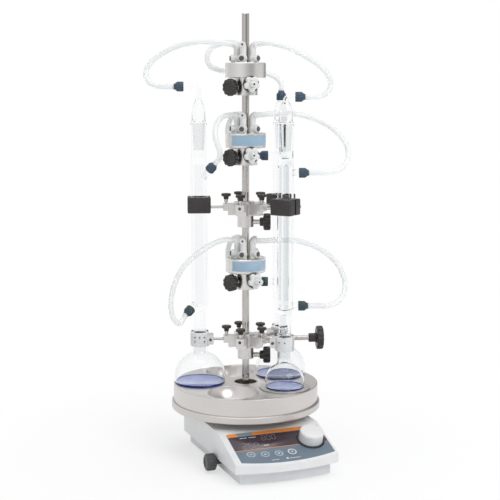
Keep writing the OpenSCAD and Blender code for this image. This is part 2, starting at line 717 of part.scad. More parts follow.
// ---------- glassware ----------

// Round-bottomed flask with a straight neck and a rolled rim
module flask(r, bulb_z) {
  difference() {
    union() {
      translate([0, 0, bulb_z]) sphere(r = r);
      translate([0, 0, bulb_z]) cylinder(r = neck_r, h = rim_z - bulb_z);
      translate([0, 0, rim_z - 3]) cylinder(r = neck_r + 2, h = 3);
    }
    translate([0, 0, bulb_z]) sphere(r = r - glass_t);
    translate([0, 0, bulb_z]) cylinder(r = neck_r - big_neck_wall, h = rim_z - bulb_z + 1);
  }
}
module flask_left() at_rod() color(glass) at_well(POSITIONS[0]) flask(big_flask_r, big_bulb_z);
module flask_front() at_rod() color(glass) at_well(POSITIONS[1]) flask(small_flask_r, small_bulb_z);
module flask_back() at_rod() color(glass) at_well(POSITIONS[2]) flask(big_flask_r, big_bulb_z);

// Place of a side connection: from the column's axis, turned to a and tilted up
module port_place(a, z, tilt) {
  translate([0, 0, z]) rotate([0, 0, a]) rotate([0, 90 - tilt, 0]) children();
}
port_l = jacket_r + 8;
// A tilted connection is longer, so that its cap clears the jacket
function port_reach(tilt) =
  max(port_l, (jacket_r + seat_gap + cap_r * sin(abs(tilt))) / cos(tilt) + 0.2);

// Jacketed condenser: joint, drip neck, jacket round an inner tube, and socket
module condenser(low_a, low_z, low_tilt, high_a, high_z, high_tilt) {
  difference() {
    union() {
      rotate_extrude() polygon([[0, rim_z - 40], [joint_top_r - 1.2, rim_z - 40], [joint_top_r, rim_z],
        [joint_top_r, jacket_low - 14], [jacket_r - 1.5, jacket_low - 8], [jacket_r, jacket_low],
        [jacket_r, jacket_high], [jacket_r - 1.2, jacket_high + taper_l],
        [jacket_r - 1.2, condenser_top_z - 4], [jacket_r, condenser_top_z - 3],
        [jacket_r, condenser_top_z], [0, condenser_top_z]]);
      port_place(low_a, low_z, low_tilt) cylinder(r = 5.5, h = port_reach(low_tilt));
      port_place(high_a, high_z, high_tilt) cylinder(r = 5.5, h = port_reach(high_tilt));
    }
    difference() {
      union() {
        rotate_extrude() polygon([[0, jacket_low + 1], [jacket_r - glass_t - 2, jacket_low + 1],
          [jacket_r - glass_t, jacket_low + 4], [jacket_r - glass_t, jacket_high - 4],
          [jacket_r - glass_t - 2, jacket_high], [0, jacket_high]]);
        port_place(low_a, low_z, low_tilt) cylinder(r = 3.5, h = port_reach(low_tilt) + 1);
        port_place(high_a, high_z, high_tilt) cylinder(r = 3.5, h = port_reach(high_tilt) + 1);
      }
      cylinder(r = inner_tube_r, h = condenser_top_z);
    }
    translate([0, 0, rim_z - 41]) cylinder(r = inner_tube_r - glass_t, h = condenser_top_z);
    translate([0, 0, socket_z]) cylinder(r1 = 9.2, r2 = 10.4, h = condenser_top_z - socket_z + 0.01);
  }
}
LEFT_PORTS = [42, 258, -35, 147, 453, 45];
FRONT_PORTS = [33, 254, 0, 33, 471, 0];
BACK_PORTS = [141, 279, 0, 141, 493, 0];
module condenser_at(i, p) at_rod() color(glass) at_well(POSITIONS[i])
  condenser(p[0], p[1], p[2], p[3], p[4], p[5]);
module condenser_left() condenser_at(0, LEFT_PORTS);
module condenser_front() condenser_at(1, FRONT_PORTS);
module condenser_back() condenser_at(2, BACK_PORTS);

// Gas adaptor: tapered joint, bulb and outlet tube, hollow all the way
adaptor_z = condenser_top_z;
module adaptor_body(top) {
  rotate_extrude() polygon([[7.8, adaptor_z - 44], [10.3, adaptor_z],
    [12.4, adaptor_z + 0.5], [12.4, adaptor_z + 3], [10.8, adaptor_z + 5], [10.8, adaptor_z + 22],
    [7.5, adaptor_z + 32], [5.2, adaptor_z + 34], [5.2, top], [3.2, top], [3.2, adaptor_z + 33],
    [6, adaptor_z + 31], [9.2, adaptor_z + 21], [9.2, adaptor_z + 2], [6.4, adaptor_z - 44]]);
}
module gas_adaptors() at_rod() color(glass) {
  at_well(POSITIONS[0]) {
    adaptor_body(adaptor_z + 40);
    translate([0, 0, adaptor_z + 39.5]) bent_tube(4.5, 2.8, 9.5, 10, 14);
  }
  at_well(POSITIONS[1]) {
    adaptor_body(adaptor_z + 36);
    translate([0, 0, adaptor_z + 35]) rotate([0, 0, 33]) bent_tube(4.5, 2.8, 1.5, 6.5, 8.5);
  }
  at_well(POSITIONS[2]) adaptor_body(adaptor_z + 36);
}

// Ribbed screw cap, from its glass end along +Z
module cap() {
  difference() {
    union() {
      cylinder(r = cap_r, h = cap_l * 0.6);
      translate([0, 0, cap_l * 0.6]) cylinder(r1 = cap_r, r2 = 5, h = cap_l * 0.15);
      translate([0, 0, cap_l * 0.75]) cylinder(r = 4.25, h = cap_l * 0.25);
    }
    translate([0, 0, -1]) cylinder(r = 2.5, h = cap_l + 2);
    for (i = [0:11]) rotate([0, 0, i * 30])
      translate([cap_r + 0.5, 0, 1]) cylinder(r = 1, h = cap_l * 0.6 - 2, $fn = 16);
  }
}
module port_caps(i, p) at_well(POSITIONS[i]) {
  port_place(p[0], p[1], p[2]) translate([0, 0, port_reach(p[2])]) cap();
  port_place(p[3], p[4], p[5]) translate([0, 0, port_reach(p[5])]) cap();
}
module hose_caps() at_rod() color(cap_blue) {
  port_caps(0, LEFT_PORTS);
  port_caps(1, FRONT_PORTS);
  port_caps(2, BACK_PORTS);
  at_well(POSITIONS[0]) translate([24, 0, adaptor_z + 59]) rotate([0, 90, 0]) cap();
  at_well(POSITIONS[1]) translate([0, 0, adaptor_z + 43]) rotate([0, 0, 33])
    translate([15, 0, 0]) rotate([0, 90, 0]) cap();
  at_well(POSITIONS[2]) translate([0, 0, adaptor_z + 36]) cap();
}

// Liquid in a flask, with the room that the stirring bar sweeps
module flask_liquid(a, r, bulb_z, bar_l) at_well(a) difference() {
  intersection() {
    translate([0, 0, bulb_z]) sphere(r = r - glass_t - 0.1);
    translate([0, 0, bulb_z - r]) cylinder(r = r, h = liquid_z - bulb_z + r);
  }
  translate([0, 0, bulb_z - r]) cylinder(r = bar_l / 2 + 0.8, h = r - bar_lift(r, bar_l) + 2 * bar_r + 0.5);
}
function bar_lift(r, l) = sqrt(pow(r - glass_t, 2) - pow(l / 2, 2) - pow(bar_r, 2)) - 0.3;
module liquid() at_rod() color("#24408f") {
  flask_liquid(POSITIONS[0], big_flask_r, big_bulb_z, big_bar_l);
  flask_liquid(POSITIONS[1], small_flask_r, small_bulb_z, small_bar_l);
  flask_liquid(POSITIONS[2], big_flask_r, big_bulb_z, big_bar_l);
}

module stir_bar(i, r, bulb_z, l) at_rod() color("white") at_well(POSITIONS[i])
  translate([0, 0, bulb_z - bar_lift(r, l) + bar_r]) {
    rotate([0, 90, 0]) cylinder(r = bar_r, h = l, center = true);
    rotate([0, 90, 0]) cylinder(r = bar_r + 0.2, h = 3, center = true);
  }
module stir_bar_left() stir_bar(0, big_flask_r, big_bulb_z, big_bar_l);
module stir_bar_front() stir_bar(1, small_flask_r, small_bulb_z, small_bar_l);
module stir_bar_back() stir_bar(2, big_flask_r, big_bulb_z, big_bar_l);

// ---------- hoses ----------

// Tube swept along a route: one ring of points at each route point
sides = 10;
function unit(v) = v / norm(v);
function along(p, i) = unit(p[min(i + 1, len(p) - 1)] - p[max(i - 1, 0)]);
function first_side(t) = unit(cross(t, abs(t[2]) < 0.9 ? [0, 0, 1] : [0, 1, 0]));
function carry(n, t) = unit(n - (n * t) * t);
function frames(p, i = 0, n = [0, 0, 0]) = i == len(p) ? [] :
  let (t = along(p, i), m = i == 0 ? first_side(t) : carry(n, t))
  concat([[m, cross(t, m)]], frames(p, i + 1, m));
module hose(p) {
  f = frames(p);
  points = [for (i = [0:len(p) - 1], k = [0:sides - 1])
    p[i] + hose_r * (cos(k * 360 / sides) * f[i][0] + sin(k * 360 / sides) * f[i][1])];
  skin = [for (i = [0:len(p) - 2], k = [0:sides - 1]) let (j = (k + 1) % sides)
    [i * sides + k, (i + 1) * sides + k, (i + 1) * sides + j, i * sides + j]];
  ends = [[for (k = [0:sides - 1]) k], [for (k = [sides - 1:-1:0]) (len(p) - 1) * sides + k]];
  at_rod() color("#e4eaee") polyhedron(points = points, faces = concat(skin, ends));
}
module gas_hose_left() hose(GAS_LEFT);
module gas_hose_front() hose(GAS_FRONT);
module gas_hose_back() hose(GAS_BACK);
module upper_hose_left() hose(UPPER_LEFT);
module upper_hose_front() hose(UPPER_FRONT);
module upper_hose_back() hose(UPPER_BACK);
module lower_hose_left() hose(LOWER_LEFT);
module lower_hose_front() hose(LOWER_FRONT);
module lower_hose_back() hose(LOWER_BACK);

// ---------- nodes ----------

housing_base();
housing_cover();
control_panel();
display_window();
control_knob();
key(0);  // key_1
key(1);  // key_2
key(2);  // key_3
key(3);  // key_4
top_plate();
stir_motor();
drive_magnet();
circuit_board();
side_clamp_knob();
power_inlet();
feet();
base_plate();
heating_block();
flask_insert();
support_rod();
lower_hub();
upper_hub();
lower_hub_knob();
upper_hub_knob();
lower_thumbscrews();
upper_thumbscrews();
flask_clamps();
condenser_clamps();
lift_handle();
top_manifold();
middle_manifold();
lower_manifold();
top_clamp_knob();
middle_clamp_knob();
lower_clamp_knob();
top_inlet_tap();
middle_inlet_tap();
lower_inlet_tap();
outlet_elbows();
flask_left();
flask_front();
flask_back();
condenser_left();
condenser_front();
condenser_back();
gas_adaptors();
hose_caps();
liquid();
stir_bar_left();
stir_bar_front();
stir_bar_back();
gas_hose_left();
gas_hose_front();
gas_hose_back();
upper_hose_left();
upper_hose_front();
upper_hose_back();
lower_hose_left();
lower_hose_front();
lower_hose_back();
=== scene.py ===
import math

import bmesh
import bpy
from mathutils import Matrix, Vector


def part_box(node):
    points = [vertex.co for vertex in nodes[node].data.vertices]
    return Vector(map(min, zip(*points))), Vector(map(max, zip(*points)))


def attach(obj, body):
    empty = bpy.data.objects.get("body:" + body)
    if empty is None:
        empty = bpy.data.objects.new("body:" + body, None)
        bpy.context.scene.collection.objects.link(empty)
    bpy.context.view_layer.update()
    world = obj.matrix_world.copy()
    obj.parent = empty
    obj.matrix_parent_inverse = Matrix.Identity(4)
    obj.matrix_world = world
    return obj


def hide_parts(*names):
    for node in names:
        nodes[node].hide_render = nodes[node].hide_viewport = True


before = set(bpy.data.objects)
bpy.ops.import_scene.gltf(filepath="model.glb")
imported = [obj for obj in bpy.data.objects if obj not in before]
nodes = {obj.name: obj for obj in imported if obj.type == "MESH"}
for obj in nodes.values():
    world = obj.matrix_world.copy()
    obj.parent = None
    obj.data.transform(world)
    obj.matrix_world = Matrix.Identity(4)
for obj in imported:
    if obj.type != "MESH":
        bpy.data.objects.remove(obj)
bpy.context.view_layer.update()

# ---------- places, in millimetres from the support rod's axis ----------

MM = 0.001
TINY = 1e-6
rod_low, rod_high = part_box("support_rod")
AXIS = Vector(((rod_low.x + rod_high.x) / 2, (rod_low.y + rod_high.y) / 2, 0))
POSITIONS = {"left": 162, "front": -54, "back": 18}
OUTLETS = [90 + 72 * k for k in range(5)]
WELL_RING = 76.5
PANEL_TOP_Y, PANEL_TOP_Z = -100, 66
SLOPE = math.atan(33 / 95)
FLASK_CLAMP_Z = 191
ARM_Z = 412
JAW_Z = 416
LEVELS = {"top": 646, "middle": 533, "lower": 328}


def move(x, y, z):
    return Matrix.Translation((x, y, z))


def turn(angle, axis="Z"):
    return Matrix.Rotation(math.radians(angle), 4, axis)


def radial(angle, z):
    """Frame at the rod's axis whose +Z points outwards at that angle."""
    return turn(angle) @ move(0, 0, z) @ turn(90, "Y")


def well(angle):
    return turn(angle) @ move(WELL_RING, 0, 0)


def port(angle, z, tilt):
    """Frame of a side port: +Z points outwards, tilted up by tilt degrees."""
    return move(0, 0, z) @ turn(angle) @ turn(90 - tilt, "Y")


def slope(x, v, n):
    """Frame on the control panel: x across, v down the slope, n out of it."""
    return move(0, PANEL_TOP_Y, PANEL_TOP_Z) @ Matrix.Rotation(SLOPE, 4, "X") @ move(x, -v, n)


def metres(point):
    return AXIS + Vector(point) * MM


# ---------- camera ----------

CAMERA_SPOT = (-706, -1839, 621)
CAMERA_DOWN, CAMERA_ROUND = 8.12, -21.214

camera = bpy.data.objects.new("camera", bpy.data.cameras.new("camera"))
bpy.context.scene.collection.objects.link(camera)
camera.location = metres(CAMERA_SPOT)
camera.rotation_euler = (math.radians(90 - CAMERA_DOWN), 0, math.radians(CAMERA_ROUND))
camera.data.sensor_width = 36
camera.data.lens = 86.587
camera.data.clip_start, camera.data.clip_end = 0.05, 50
bpy.context.scene.camera = camera

# ---------- materials ----------

DEEPEST_GLASS = 4.5


class Nodes:
    """Node tree of one material, with short calls for the nodes that the finishes use."""

    def __init__(self, name):
        self.material = bpy.data.materials.new(name)
        self.material.use_nodes = True
        self.tree = self.material.node_tree
        self.shader = self.tree.nodes["Principled BSDF"]
        self.out = self.tree.nodes["Material Output"]

    def add(self, kind, inputs=None, **settings):
        node = self.tree.nodes.new("ShaderNode" + kind)
        for key, value in settings.items():
            setattr(node, key, value)
        for key, value in (inputs or {}).items():
            if isinstance(value, bpy.types.NodeSocket):
                self.tree.links.new(value, node.inputs[key])
            else:
                node.inputs[key].default_value = value
        return node

    def math(self, operation, a, b=0.0):
        return self.add("Math", {0: a, 1: b}, operation=operation).outputs[0]

    def place(self, scale=(1, 1, 1)):
        """Position in the shared frame, moved to the rod's axis and scaled."""
        spot = self.add("TexCoord").outputs["Object"]
        spot = self.add("VectorMath", {0: spot, 1: -AXIS}, operation="ADD").outputs[0]
        return self.add("Mapping", {"Vector": spot, "Scale": scale}).outputs[0]

    def noise(self, vector, scale, detail=3.0, rough=0.5):
        inputs = {"Vector": vector, "Scale": scale, "Detail": detail, "Roughness": rough}
        return self.add("TexNoise", inputs).outputs["Fac"]

    def span(self, value, low, high, start=0.3, end=0.7):
        inputs = {"Value": value, "From Min": start, "From Max": end,
                  "To Min": low, "To Max": high}
        return self.add("MapRange", inputs).outputs["Result"]

    def blend(self, factor, first, second, kind="MIX"):
        node = self.add("Mix", data_type="RGBA", blend_type=kind)
        for socket, value in ((node.inputs[0], factor), (node.inputs[6], first),
                              (node.inputs[7], second)):
            if isinstance(value, bpy.types.NodeSocket):
                self.tree.links.new(value, socket)
            else:
                socket.default_value = value
        return node.outputs[2]

    def bump(self, height, strength, distance):
        inputs = {"Height": height, "Strength": strength, "Distance": distance}
        self.set(Normal=self.add("Bump", inputs).outputs[0])

    def set(self, **inputs):
        for key, value in inputs.items():
            socket = self.shader.inputs[key.replace("_", " ")]
            if isinstance(value, bpy.types.NodeSocket):
                self.tree.links.new(value, socket)
            else:
                socket.default_value = value
        return self


def rgb(red, green, blue, factor=1.0):
    return (red * factor, green * factor, blue * factor, 1)


def plastic(name, colour, rough, grain=900, depth=0.00004, spread=0.06, **more):
    """Moulded plastic: faint mottling, a fine eroded texture and uneven gloss."""
    n = Nodes(name)
    mottle = n.noise(n.place(), 40)
    fine = n.noise(n.place(), grain, 2)
    shades = rgb(*colour, 1 - spread), rgb(*colour, 1 + spread)
    n.set(Base_Color=n.blend(n.span(mottle, 0, 1), *shades),
          Roughness=n.span(fine, rough - 0.05, rough + 0.06), **more)
    n.bump(fine, 0.35, depth)
    return n.material


def metal(name, colour, rough, scale, spread=0.05, depth=0.00001, lines=300, **more):
    """Machined metal: fine lines along the cut, and a slow drift of tone."""
    n = Nodes(name)
    cut = n.noise(n.place(scale), lines, 3, 0.6)
    drift = n.noise(n.place(), 14)
    tone = n.math("ADD", n.math("MULTIPLY", cut, 0.6), n.math("MULTIPLY", drift, 0.4))
    shades = rgb(*colour, 1 - spread), rgb(*colour, 1 + spread)
    n.set(Base_Color=n.blend(n.span(tone, 0, 1), *shades), Metallic=1.0,
          Roughness=n.span(cut, rough - 0.06, rough + 0.06), **more)
    n.bump(cut, 0.3, depth)
    return n.material


def turned(name, colour, rough, spread=0.05, depth=0.00002):
    """Turned aluminium: rings round the rod's axis on top, lines round the side."""
    n = Nodes(name)
    spot = n.place()
    parts = n.add("SeparateXYZ", {0: spot})
    x, y, z = parts.outputs
    reach = n.math("SQRT", n.math("ADD", n.math("MULTIPLY", x, x), n.math("MULTIPLY", y, y)))
    rings = n.add("CombineXYZ", {0: reach, 1: z, 2: 0.0}).outputs[0]
    cut = n.noise(rings, 1500, 2, 0.7)
    drift = n.noise(spot, 11, 2)
    tone = n.math("ADD", n.math("MULTIPLY", cut, 0.5), n.math("MULTIPLY", drift, 0.5))
    shades = rgb(*colour, 1 - spread), rgb(*colour, 1 + spread)
    n.set(Base_Color=n.blend(n.span(tone, 0, 1), *shades), Metallic=1.0,
          Roughness=n.span(cut, rough - 0.07, rough + 0.07))
    n.bump(cut, 0.25, depth)
    return n.material


def clear(name, colour, rough, ior, edge, transmission=1.0):
    """Clear material, a little darker where it is seen edge on. Shadow rays go straight
    through, and so do rays that have crossed many walls."""
    n = Nodes(name)
    facing = n.add("LayerWeight", {"Blend": 0.3}).outputs["Facing"]
    flow = n.noise(n.place((1, 1, 0.25)), 60, 2)
    body = n.blend(n.span(flow, 0, 1), rgb(*colour, 0.985), rgb(*colour))
    n.set(Base_Color=n.blend(n.math("POWER", facing, 3.0), body, rgb(*edge)),
          Roughness=n.span(flow, rough, rough + 0.004),
          Transmission_Weight=transmission, IOR=ior)
    path = n.add("LightPath").outputs
    deep = n.math("GREATER_THAN", path["Transmission Depth"], DEEPEST_GLASS)
    lamps = n.math("MAXIMUM", path["Is Shadow Ray"], deep)
    open_way = n.add("BsdfTransparent", {"Color": rgb(*colour, 0.97)}).outputs[0]
    mix = n.add("MixShader", {0: lamps, 1: n.shader.outputs[0], 2: open_way})
    n.tree.links.new(mix.outputs[0], n.out.inputs["Surface"])
    return n.material


def fluid(name):
    """Dyed liquid: deep at the sides, paler where the light falls on its level surface."""
    n = Nodes(name)
    up = n.add("SeparateXYZ", {0: n.add("NewGeometry").outputs["Normal"]}).outputs[2]
    swirl = n.noise(n.place(), 30, 2)
    deep = n.blend(n.span(swirl, 0, 1), rgb(0.010, 0.030, 0.20), rgb(0.018, 0.050, 0.28))
    pale = n.blend(n.span(swirl, 0, 1), rgb(0.19, 0.235, 0.44), rgb(0.27, 0.315, 0.54))
    n.set(Base_Color=n.blend(n.span(up, 0, 1, 0.8, 0.97), deep, pale), Roughness=0.08,
          Transmission_Weight=0.15, IOR=1.36)
    return n.material


WHITE = plastic("white_plastic", (0.80, 0.81, 0.81), 0.38, spread=0.02)
GREY_WHITE = plastic("grey_white_plastic", (0.73, 0.75, 0.76), 0.45, spread=0.03)
FOIL = plastic("panel_foil", (0.145, 0.195, 0.25), 0.34, grain=1600, spread=0.05)
ORANGE = plastic("orange_print", (0.88, 0.29, 0.045), 0.34, grain=1600, spread=0.03)
PATCH = plastic("grey_print", (0.23, 0.29, 0.33), 0.34, grain=1600)
PALE = plastic("pale_print", (0.72, 0.75, 0.78), 0.4, grain=1600, spread=0.02)
SCREEN = plastic("display_glass", (0.055, 0.040, 0.055), 0.12, grain=300, depth=0.000004,
                 spread=0.12, Coat_Weight=0.6, Coat_Roughness=0.05)
KEYS = plastic("key_plastic", (0.175, 0.23, 0.29), 0.36, grain=1600)
KNOB_WHITE = plastic("knob_white", (0.80, 0.79, 0.79), 0.30, grain=700, spread=0.02,
                     Subsurface_Weight=0.05)
BLACK = plastic("knob_black", (0.026, 0.022, 0.021), 0.36, grain=800, spread=0.2)
JAW = plastic("jaw_black", (0.030, 0.026, 0.025), 0.48, grain=1000, spread=0.2)
RUBBER = plastic("foot_rubber", (0.035, 0.035, 0.037), 0.7, grain=500, spread=0.2)
BOARD = plastic("board_green", (0.03, 0.13, 0.06), 0.4)
PTFE = plastic("ptfe", (0.80, 0.80, 0.79), 0.42, grain=500, spread=0.025,
               Subsurface_Weight=0.15, Subsurface_Radius=(0.004, 0.004, 0.004))
CAP_BLUE = plastic("cap_slate_blue", (0.038, 0.068, 0.105), 0.42, grain=900, spread=0.12)
CAP_GREEN = plastic("cap_green_grey", (0.030, 0.058, 0.066), 0.45, grain=900, spread=0.12)
LABEL = plastic("label_blue", (0.33, 0.47, 0.60), 0.35, grain=1500, spread=0.06)
DARK = plastic("dark_grey_plastic", (0.062, 0.068, 0.064), 0.40, grain=800, spread=0.15)
KNOB_FOOT_RING = plastic("knob_foot_ring", (0.022, 0.020, 0.022), 0.3, grain=900, spread=0.15)
READOUT = plastic("readout", (0.20, 0.185, 0.22), 0.3, grain=1600, spread=0.05)
LINER = plastic("jaw_liner", (0.42, 0.40, 0.38), 0.6, grain=700, spread=0.1)
TAP = plastic("tap_white", (0.78, 0.785, 0.785), 0.34, grain=700, spread=0.02)
COLLAR = plastic("collar_white", (0.76, 0.77, 0.77), 0.36, grain=700, spread=0.04,
                 Subsurface_Weight=0.1, Subsurface_Radius=(0.003, 0.003, 0.003))
# Dark plastic of the spindles and pins, also used as painted shade behind the inlet taps' grips.
SPINDLE_AND_SHADE = plastic("spindle_dark_and_painted_shade", (0.10, 0.095, 0.09), 0.4, grain=900, spread=0.15)
CAST = turned("turned_aluminium", (0.66, 0.63, 0.61), 0.33)
PLATE = turned("plate_aluminium", (0.62, 0.59, 0.57), 0.35)
INSERT = metal("insert_aluminium", (0.56, 0.54, 0.52), 0.38, (1, 1, 3))
POLISHED = metal("polished_steel", (0.50, 0.475, 0.455), 0.15, (1, 1, 0.05), lines=2500)
SATIN = metal("satin_steel", (0.66, 0.645, 0.63), 0.30, (1, 1, 0.04), lines=2500)
MANIFOLD = metal("manifold_steel", (0.70, 0.685, 0.67), 0.27, (0.05, 0.05, 1), lines=2500)
MAGNET = metal("magnet_dark", (0.25, 0.25, 0.26), 0.45, (1, 1, 1))
GLASS = clear("borosilicate", (0.99, 0.994, 0.994), 0.0, 1.27, (0.86, 0.88, 0.895))
TUBE = clear("thin_borosilicate", (0.985, 0.99, 0.992), 0.0, 1.14, (0.80, 0.825, 0.845))
GROUND = clear("ground_glass", (0.96, 0.965, 0.97), 0.25, 1.2, (0.80, 0.82, 0.835))
SILICONE = clear("silicone_hose", (0.93, 0.94, 0.945), 0.28, 1.30, (0.80, 0.815, 0.825),
                 transmission=0.42)
BLUE = fluid("blue_liquid")

# ---------- mesh building ----------

WELD = 1e-7


class Shape:
    """Faces gathered in millimetres round the rod's axis, then built as one piece."""

    def __init__(self):
        self.points, self.faces, self.slots = [], [], []

    def add(self, part, place=None, slot=0, flip=False):
        """Adds points and faces. slot is a material's number, or gives it for a face's middle."""
        points, faces = part
        place = place or Matrix()
        first = len(self.points)
        self.points += [place @ Vector(p) for p in points]
        for face in faces:
            number = slot
            if callable(slot):
                number = slot(sum((Vector(points[i]) for i in face), Vector()) / len(face))
            face = [first + i for i in face]
            self.faces.append(face[::-1] if flip else face)
            self.slots.append(number)
        return self

    def build(self, name, body, materials, slot, replaces=(), sharp=35, bevel=0):
        mesh = bpy.data.meshes.new(name)
        mesh.from_pydata([metres(p) for p in self.points], [], self.faces)
        for face, number in zip(mesh.polygons, self.slots):
            face.material_index = number
            face.use_smooth = True
        work = bmesh.new()
        work.from_mesh(mesh)
        bmesh.ops.remove_doubles(work, verts=work.verts, dist=WELD)
        bmesh.ops.dissolve_degenerate(work, edges=work.edges, dist=WELD)
        work.to_mesh(mesh)
        work.free()
        mesh.set_sharp_from_angle(angle=math.radians(sharp))
        piece = bpy.data.objects.new(name, mesh)
        bpy.context.scene.collection.objects.link(piece)
        for material in materials:
            mesh.materials.append(material)
        if bevel:
            round_edges(piece, bevel)
        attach(piece, body)
        if replaces:
            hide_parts(*replaces)
        return piece


def round_edges(piece, width, segments=3, angle=32):
    bevel = piece.modifiers.new("edges", "BEVEL")
    bevel.width = width * MM
    bevel.segments = segments
    bevel.limit_method = "ANGLE"
    bevel.angle_limit = math.radians(angle)
    bevel.harden_normals = True


def revolve(profile, count=64, lobes=None, ring=False):
    """Profile of (radius, height) turned round +Z. lobes = (number, depth, inner, outer):
    beyond the inner radius the outline dips between the lobes. ring closes the profile."""
    points, faces = [], []
    rows = len(profile)
    for radius, height in profile:
        for k in range(count):
            angle = 2 * math.pi * k / count
            reach = radius
            if lobes and radius > lobes[2]:
                dip = (0.5 - 0.5 * math.cos(lobes[0] * angle)) ** 2
                reach -= lobes[1] * dip * (radius - lobes[2]) / (lobes[3] - lobes[2])
            points.append((reach * math.cos(angle), reach * math.sin(angle), height))
    for i in range(rows if ring else rows - 1):
        j = (i + 1) % rows
        for k in range(count):
            m = (k + 1) % count
            faces.append((i * count + k, i * count + m, j * count + m, j * count + k))
    return points, faces


def arc(x, y, radius, start, end, steps=6):
    """Points of an arc in a profile, angles in degrees from the +radius direction."""
    angles = [math.radians(start + (end - start) * k / steps) for k in range(steps + 1)]
    return [(x + radius * math.cos(a), y + radius * math.sin(a)) for a in angles]


def sweep(path, radius, count):
    """Open round wall of that radius along a path of points."""
    path = [Vector(p) for p in path]
    points, faces = [], []
    side = None
    for i, spot in enumerate(path):
        ahead = (path[min(i + 1, len(path) - 1)] - path[max(i - 1, 0)]).normalized()
        if side is None:
            side = ahead.orthogonal().normalized()
        side = (side - ahead * side.dot(ahead)).normalized()
        up = ahead.cross(side)
        for k in range(count):
            a = 2 * math.pi * k / count
            points.append(spot + radius * (math.cos(a) * side + math.sin(a) * up))
    for i in range(len(path) - 1):
        for k in range(count):
            m = (k + 1) % count
            faces.append((i * count + k, i * count + m, (i + 1) * count + m,
                          (i + 1) * count + k))
    return points, faces


def pipe(path, radius, bore, count):
    """Hollow tube along a path of points, open at both ends."""
    outer, faces = sweep(path, radius, count)
    inner, more = sweep(path, bore, count)
    first = len(outer)
    faces = faces + [tuple(first + i for i in face)[::-1] for face in more]
    for k in range(count):
        m = (k + 1) % count
        end = first - count
        faces.append((m, k, first + k, first + m))
        faces.append((end + k, end + m, first + end + m, first + end + k))
    return outer + inner, faces


def sector(profile, start, end, count):
    """Closed profile turned from one angle to another, with flat ends."""
    rows = len(profile)
    points, faces = [], []
    for k in range(count + 1):
        angle = math.radians(start + (end - start) * k / count)
        points += [(r * math.cos(angle), r * math.sin(angle), z) for r, z in profile]
    for k in range(count):
        for i in range(rows):
            j = (i + 1) % rows
            faces.append((k * rows + i, (k + 1) * rows + i, (k + 1) * rows + j, k * rows + j))
    faces.append(tuple(range(rows)))
    faces.append(tuple(count * rows + i for i in range(rows - 1, -1, -1)))
    return points, faces


def bevelled_plate(outline, low, high, edge):
    """Flat plate from an outline of (x, y), its rims rounded inwards by edge."""
    count = len(outline)
    steps = [(edge, low), (edge * 0.3, low + edge * 0.3), (0, low + edge), (0, high - edge),
             (edge * 0.3, high - edge * 0.3), (edge, high)]
    corners = [Vector(p).to_2d() for p in outline]
    inward = []
    for k in range(count):
        before = (corners[k] - corners[k - 1]).normalized()
        after = (corners[(k + 1) % count] - corners[k]).normalized()
        across = Vector((-(before + after).y, (before + after).x))
        across = across.normalized() if across.length > TINY else Vector((-after.y, after.x))
        inward.append(across / max(0.6, across.dot(Vector((-after.y, after.x)))))
    points, faces = [], []
    for inset, height in steps:
        points += [(*(corner + side * inset), height) for corner, side in zip(corners, inward)]
    for i in range(len(steps) - 1):
        for k in range(count):
            m = (k + 1) % count
            faces.append((i * count + k, i * count + m, (i + 1) * count + m,
                          (i + 1) * count + k))
    faces.append(tuple(range(count - 1, -1, -1)))
    faces.append(tuple(range(len(points) - count, len(points))))
    return points, faces


def plate(outline, low, high):
    """Flat plate from an outline of (x, y), between two heights."""
    count = len(outline)
    points = [(x, y, low) for x, y in outline] + [(x, y, high) for x, y in outline]
    faces = [tuple(range(count - 1, -1, -1)), tuple(range(count, 2 * count))]
    faces += [(k, (k + 1) % count, count + (k + 1) % count, count + k) for k in range(count)]
    return points, faces


def bar(x0, y0, x1, y1, low, high):
    return plate([(x0, y0), (x1, y0), (x1, y1), (x0, y1)], low, high)


def circle(radius, count):
    angles = [2 * math.pi * k / count for k in range(count)]
    return [(radius * math.cos(a), radius * math.sin(a)) for a in angles]


# ---------- hoses ----------

